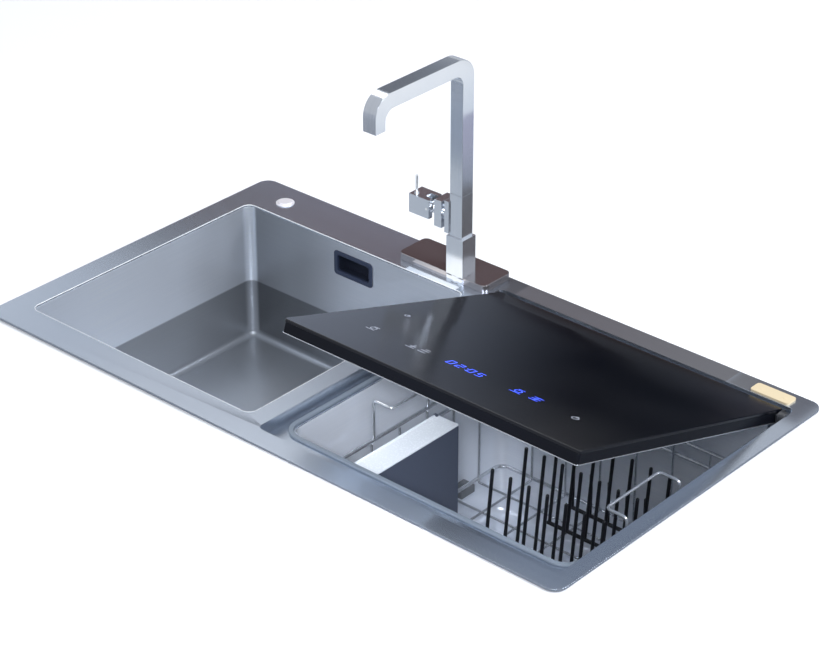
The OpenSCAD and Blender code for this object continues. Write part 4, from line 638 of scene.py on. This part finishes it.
# the comment above each card says what mirrors it
cards = {
    # back rim, tap plate
    "warmCard": {"corners": [(-1060, 440, 300), (-200, 440, 300), (-200, 795, 300), (-1060, 795, 300)],
                 "runMm": (-900, -660), "left": "#4a3330", "right": "#4a140b"},
    # left rim, its back half
    "leftCard": {"corners": [(-1150, 340, 301), (-700, 340, 301), (-700, 795, 301), (-1150, 795, 301)],
                 "runMm": (-1100, -780), "left": "#5c616b", "right": "#5c616b"},
    # the left rim's front half and the front rim's left end
    "frontCard": {"corners": [(-1150, 0, 301), (-640, 0, 301), (-640, 300, 301), (-1150, 300, 301)],
                  "runMm": (-1100, -650), "left": "#e3e8f0", "right": "#b4bbc6"},
    # right rim, in place of the lid's dark underside
    "rimCard": {"corners": [(230, -215, 40), (425, -215, 40), (425, 150, 12), (230, 150, 12)],
                "runMm": (230, 380), "left": "#3f4551", "right": "#717b8c"},
    # strip behind the lid
    "ledgeCard": {"corners": [(8, 200, 7), (330, 200, 7), (330, 262, 7), (8, 262, 7)],
                  "runMm": (50, 420), "left": "#5c4d4b", "right": "#77706d"},
    # far right corner
    "cornerCard": {"corners": [(300, 238, 40), (420, 238, 40), (420, 314, 40), (300, 314, 40)],
                   "runMm": (300, 420), "left": "#77706d", "right": "#5c5960"},
    # lower half of the tap's right faces
    "lowCard": {"corners": [(-50, 206, 14.5), (112, 206, 14.5), (112, 404, 14.5), (-50, 404, 14.5)],
                "runMm": (-40, 110), "left": "#2c1512", "right": "#241b1c"},
    # their upper half
    "patchCard": {"corners": [(90, 390, 4), (360, 390, 4), (360, 680, 4), (90, 680, 4)],
                  "runMm": (90, 240), "left": "#7c8896", "right": "#a9a8c0"},
    # foot of the tap's front face
    "whiteCard": {"corners": [(-140, 140, 7.5), (-56, 140, 7.5), (-56, 189, 7.5), (-140, 189, 7.5)],
                  "runMm": (-140, -90), "left": "#d8dde4", "right": "#ffffff", "strength": 1.5},
    # right part of the lid recess
    "sideCard": {"corners": [(-4, 110, 200), (170, 110, 200), (170, 400, 200), (-4, 400, 200)],
                 "runMm": (-4, 120), "left": "#dfe4ec", "right": "#ffffff", "strength": 1.15},
    # the tap's front faces
    "footCard": {"corners": [(-420, -60, 7), (-62, -60, 7), (-62, 139, 7), (-420, 139, 7)],
                 "runMm": (-330, -90), "left": "#c6cdd6", "right": "#c2c9d2"},
    # front rim's right half
    "highCard": {"corners": [(-900, 800, 620), (-360, 800, 620), (-360, 800, 1080), (-900, 800, 1080)],
                 "runMm": (-700, -560), "left": "#3d4350", "right": "#5a6270"},
    # the lid's glass
    "nightCard": {"corners": [(-1300, 800, -60), (1400, 800, -60), (1400, 800, 380), (-1300, 800, 290)],
                  "runMm": (-800, -170), "left": "#d0dcf4", "right": "#020306"},
}
for name, card in cards.items():
    reflectionCard(name, card)
print("stage made")

# World: plain pale light; the camera sees it white
surroundings = {"colour": "#eef1f7", "strength": 0.68, "seenColour": "#ffffff", "seenStrength": 1.0}
world = bpy.data.worlds.new("paleWorld")
bpy.context.scene.world = world
world.use_nodes = True
worldTree = world.node_tree
worldTree.nodes.clear()
rays = addNode(worldTree, "ShaderNodeLightPath")
background = addNode(worldTree, "ShaderNodeBackground", inputs={
    "Color": linearColour(surroundings["colour"]), "Strength": surroundings["strength"]})
pale = addNode(worldTree, "ShaderNodeBackground", inputs={
    "Color": linearColour(surroundings["seenColour"]), "Strength": surroundings["seenStrength"]})
blendWorld = addNode(worldTree, "ShaderNodeMixShader", inputs={
    0: rays.outputs["Is Camera Ray"], 1: background.outputs[0], 2: pale.outputs[0]})
addNode(worldTree, "ShaderNodeOutputWorld", inputs={"Surface": blendWorld.outputs[0]})


def addLamp(name, settings):
    # a panel where the settings give a size, a spot where they give a cone
    isPanel = "size" in settings
    data = bpy.data.lights.new(name, "AREA" if isPanel else "SPOT")
    data.energy = settings["watts"]
    data.color = linearColour(settings["colour"])[:3]
    if isPanel:
        data.shape = "RECTANGLE"
        data.size, data.size_y = settings["size"]
    else:
        data.spot_size = math.radians(settings["coneDegrees"])
        data.spot_blend = settings["blend"]
        data.shadow_soft_size = settings["radius"]
    lamp = bpy.data.objects.new(name, data)
    lamp.location = settings["place"]
    aim = Vector(settings["target"]) - Vector(settings["place"])
    lamp.rotation_euler = aim.to_track_quat("-Z", "Y").to_euler()
    bpy.context.scene.collection.objects.link(lamp)


lamps = {
    "keyLamp": {"place": (-1.4, 0.9, 2.4), "target": (0, 0, 0), "size": (1.6, 1.2), "watts": 18,
                "colour": "#ffffff"},
    "sideLamp": {"place": (2.0, 0.7, 1.5), "target": (-0.2, 0, -0.1), "size": (1.2, 1.0), "watts": 52,
                 "colour": "#f4f7ff"},
    "frontLamp": {"place": (1.3, -1.5, 1.6), "target": (0.1, 0, -0.1), "size": (1.2, 0.8), "watts": 34,
                  "colour": "#f6f8ff"},
    # this one shines through the gap under the lid, on the tub's left wall and the cutlery box
    "tubLamp": {"place": (0.95, -1.05, 0.8), "target": (0.05, -0.04, -0.07), "coneDegrees": 18, "blend": 1.0,
                "radius": 0.12, "watts": 110, "colour": "#f2f6ff"},
}
for name, settings in lamps.items():
    addLamp(name, settings)

# Camera: solved from the deck's edges in the photograph
view = {"place": (1763, -1959.5, 1543), "azimuth": 41.42, "elevation": 29.60, "focalPixels": 2550,
        "widthPixels": 828, "sensorMm": 36}
cameraData = bpy.data.cameras.new("photoCamera")
cameraData.sensor_width = view["sensorMm"]
cameraData.sensor_fit = "HORIZONTAL"
cameraData.lens = view["focalPixels"] / view["widthPixels"] * view["sensorMm"]
camera = bpy.data.objects.new("photoCamera", cameraData)
azimuth, elevation = math.radians(view["azimuth"]), math.radians(view["elevation"])
aim = Vector((
    -math.sin(azimuth) * math.cos(elevation), math.cos(azimuth) * math.cos(elevation), -math.sin(elevation)))
camera.location = Vector(view["place"]) * mm
camera.rotation_euler = aim.to_track_quat("-Z", "Y").to_euler()
bpy.context.scene.collection.objects.link(camera)
bpy.context.scene.camera = camera
bpy.context.scene.view_settings.view_transform = "Standard"
print("lights and camera set")
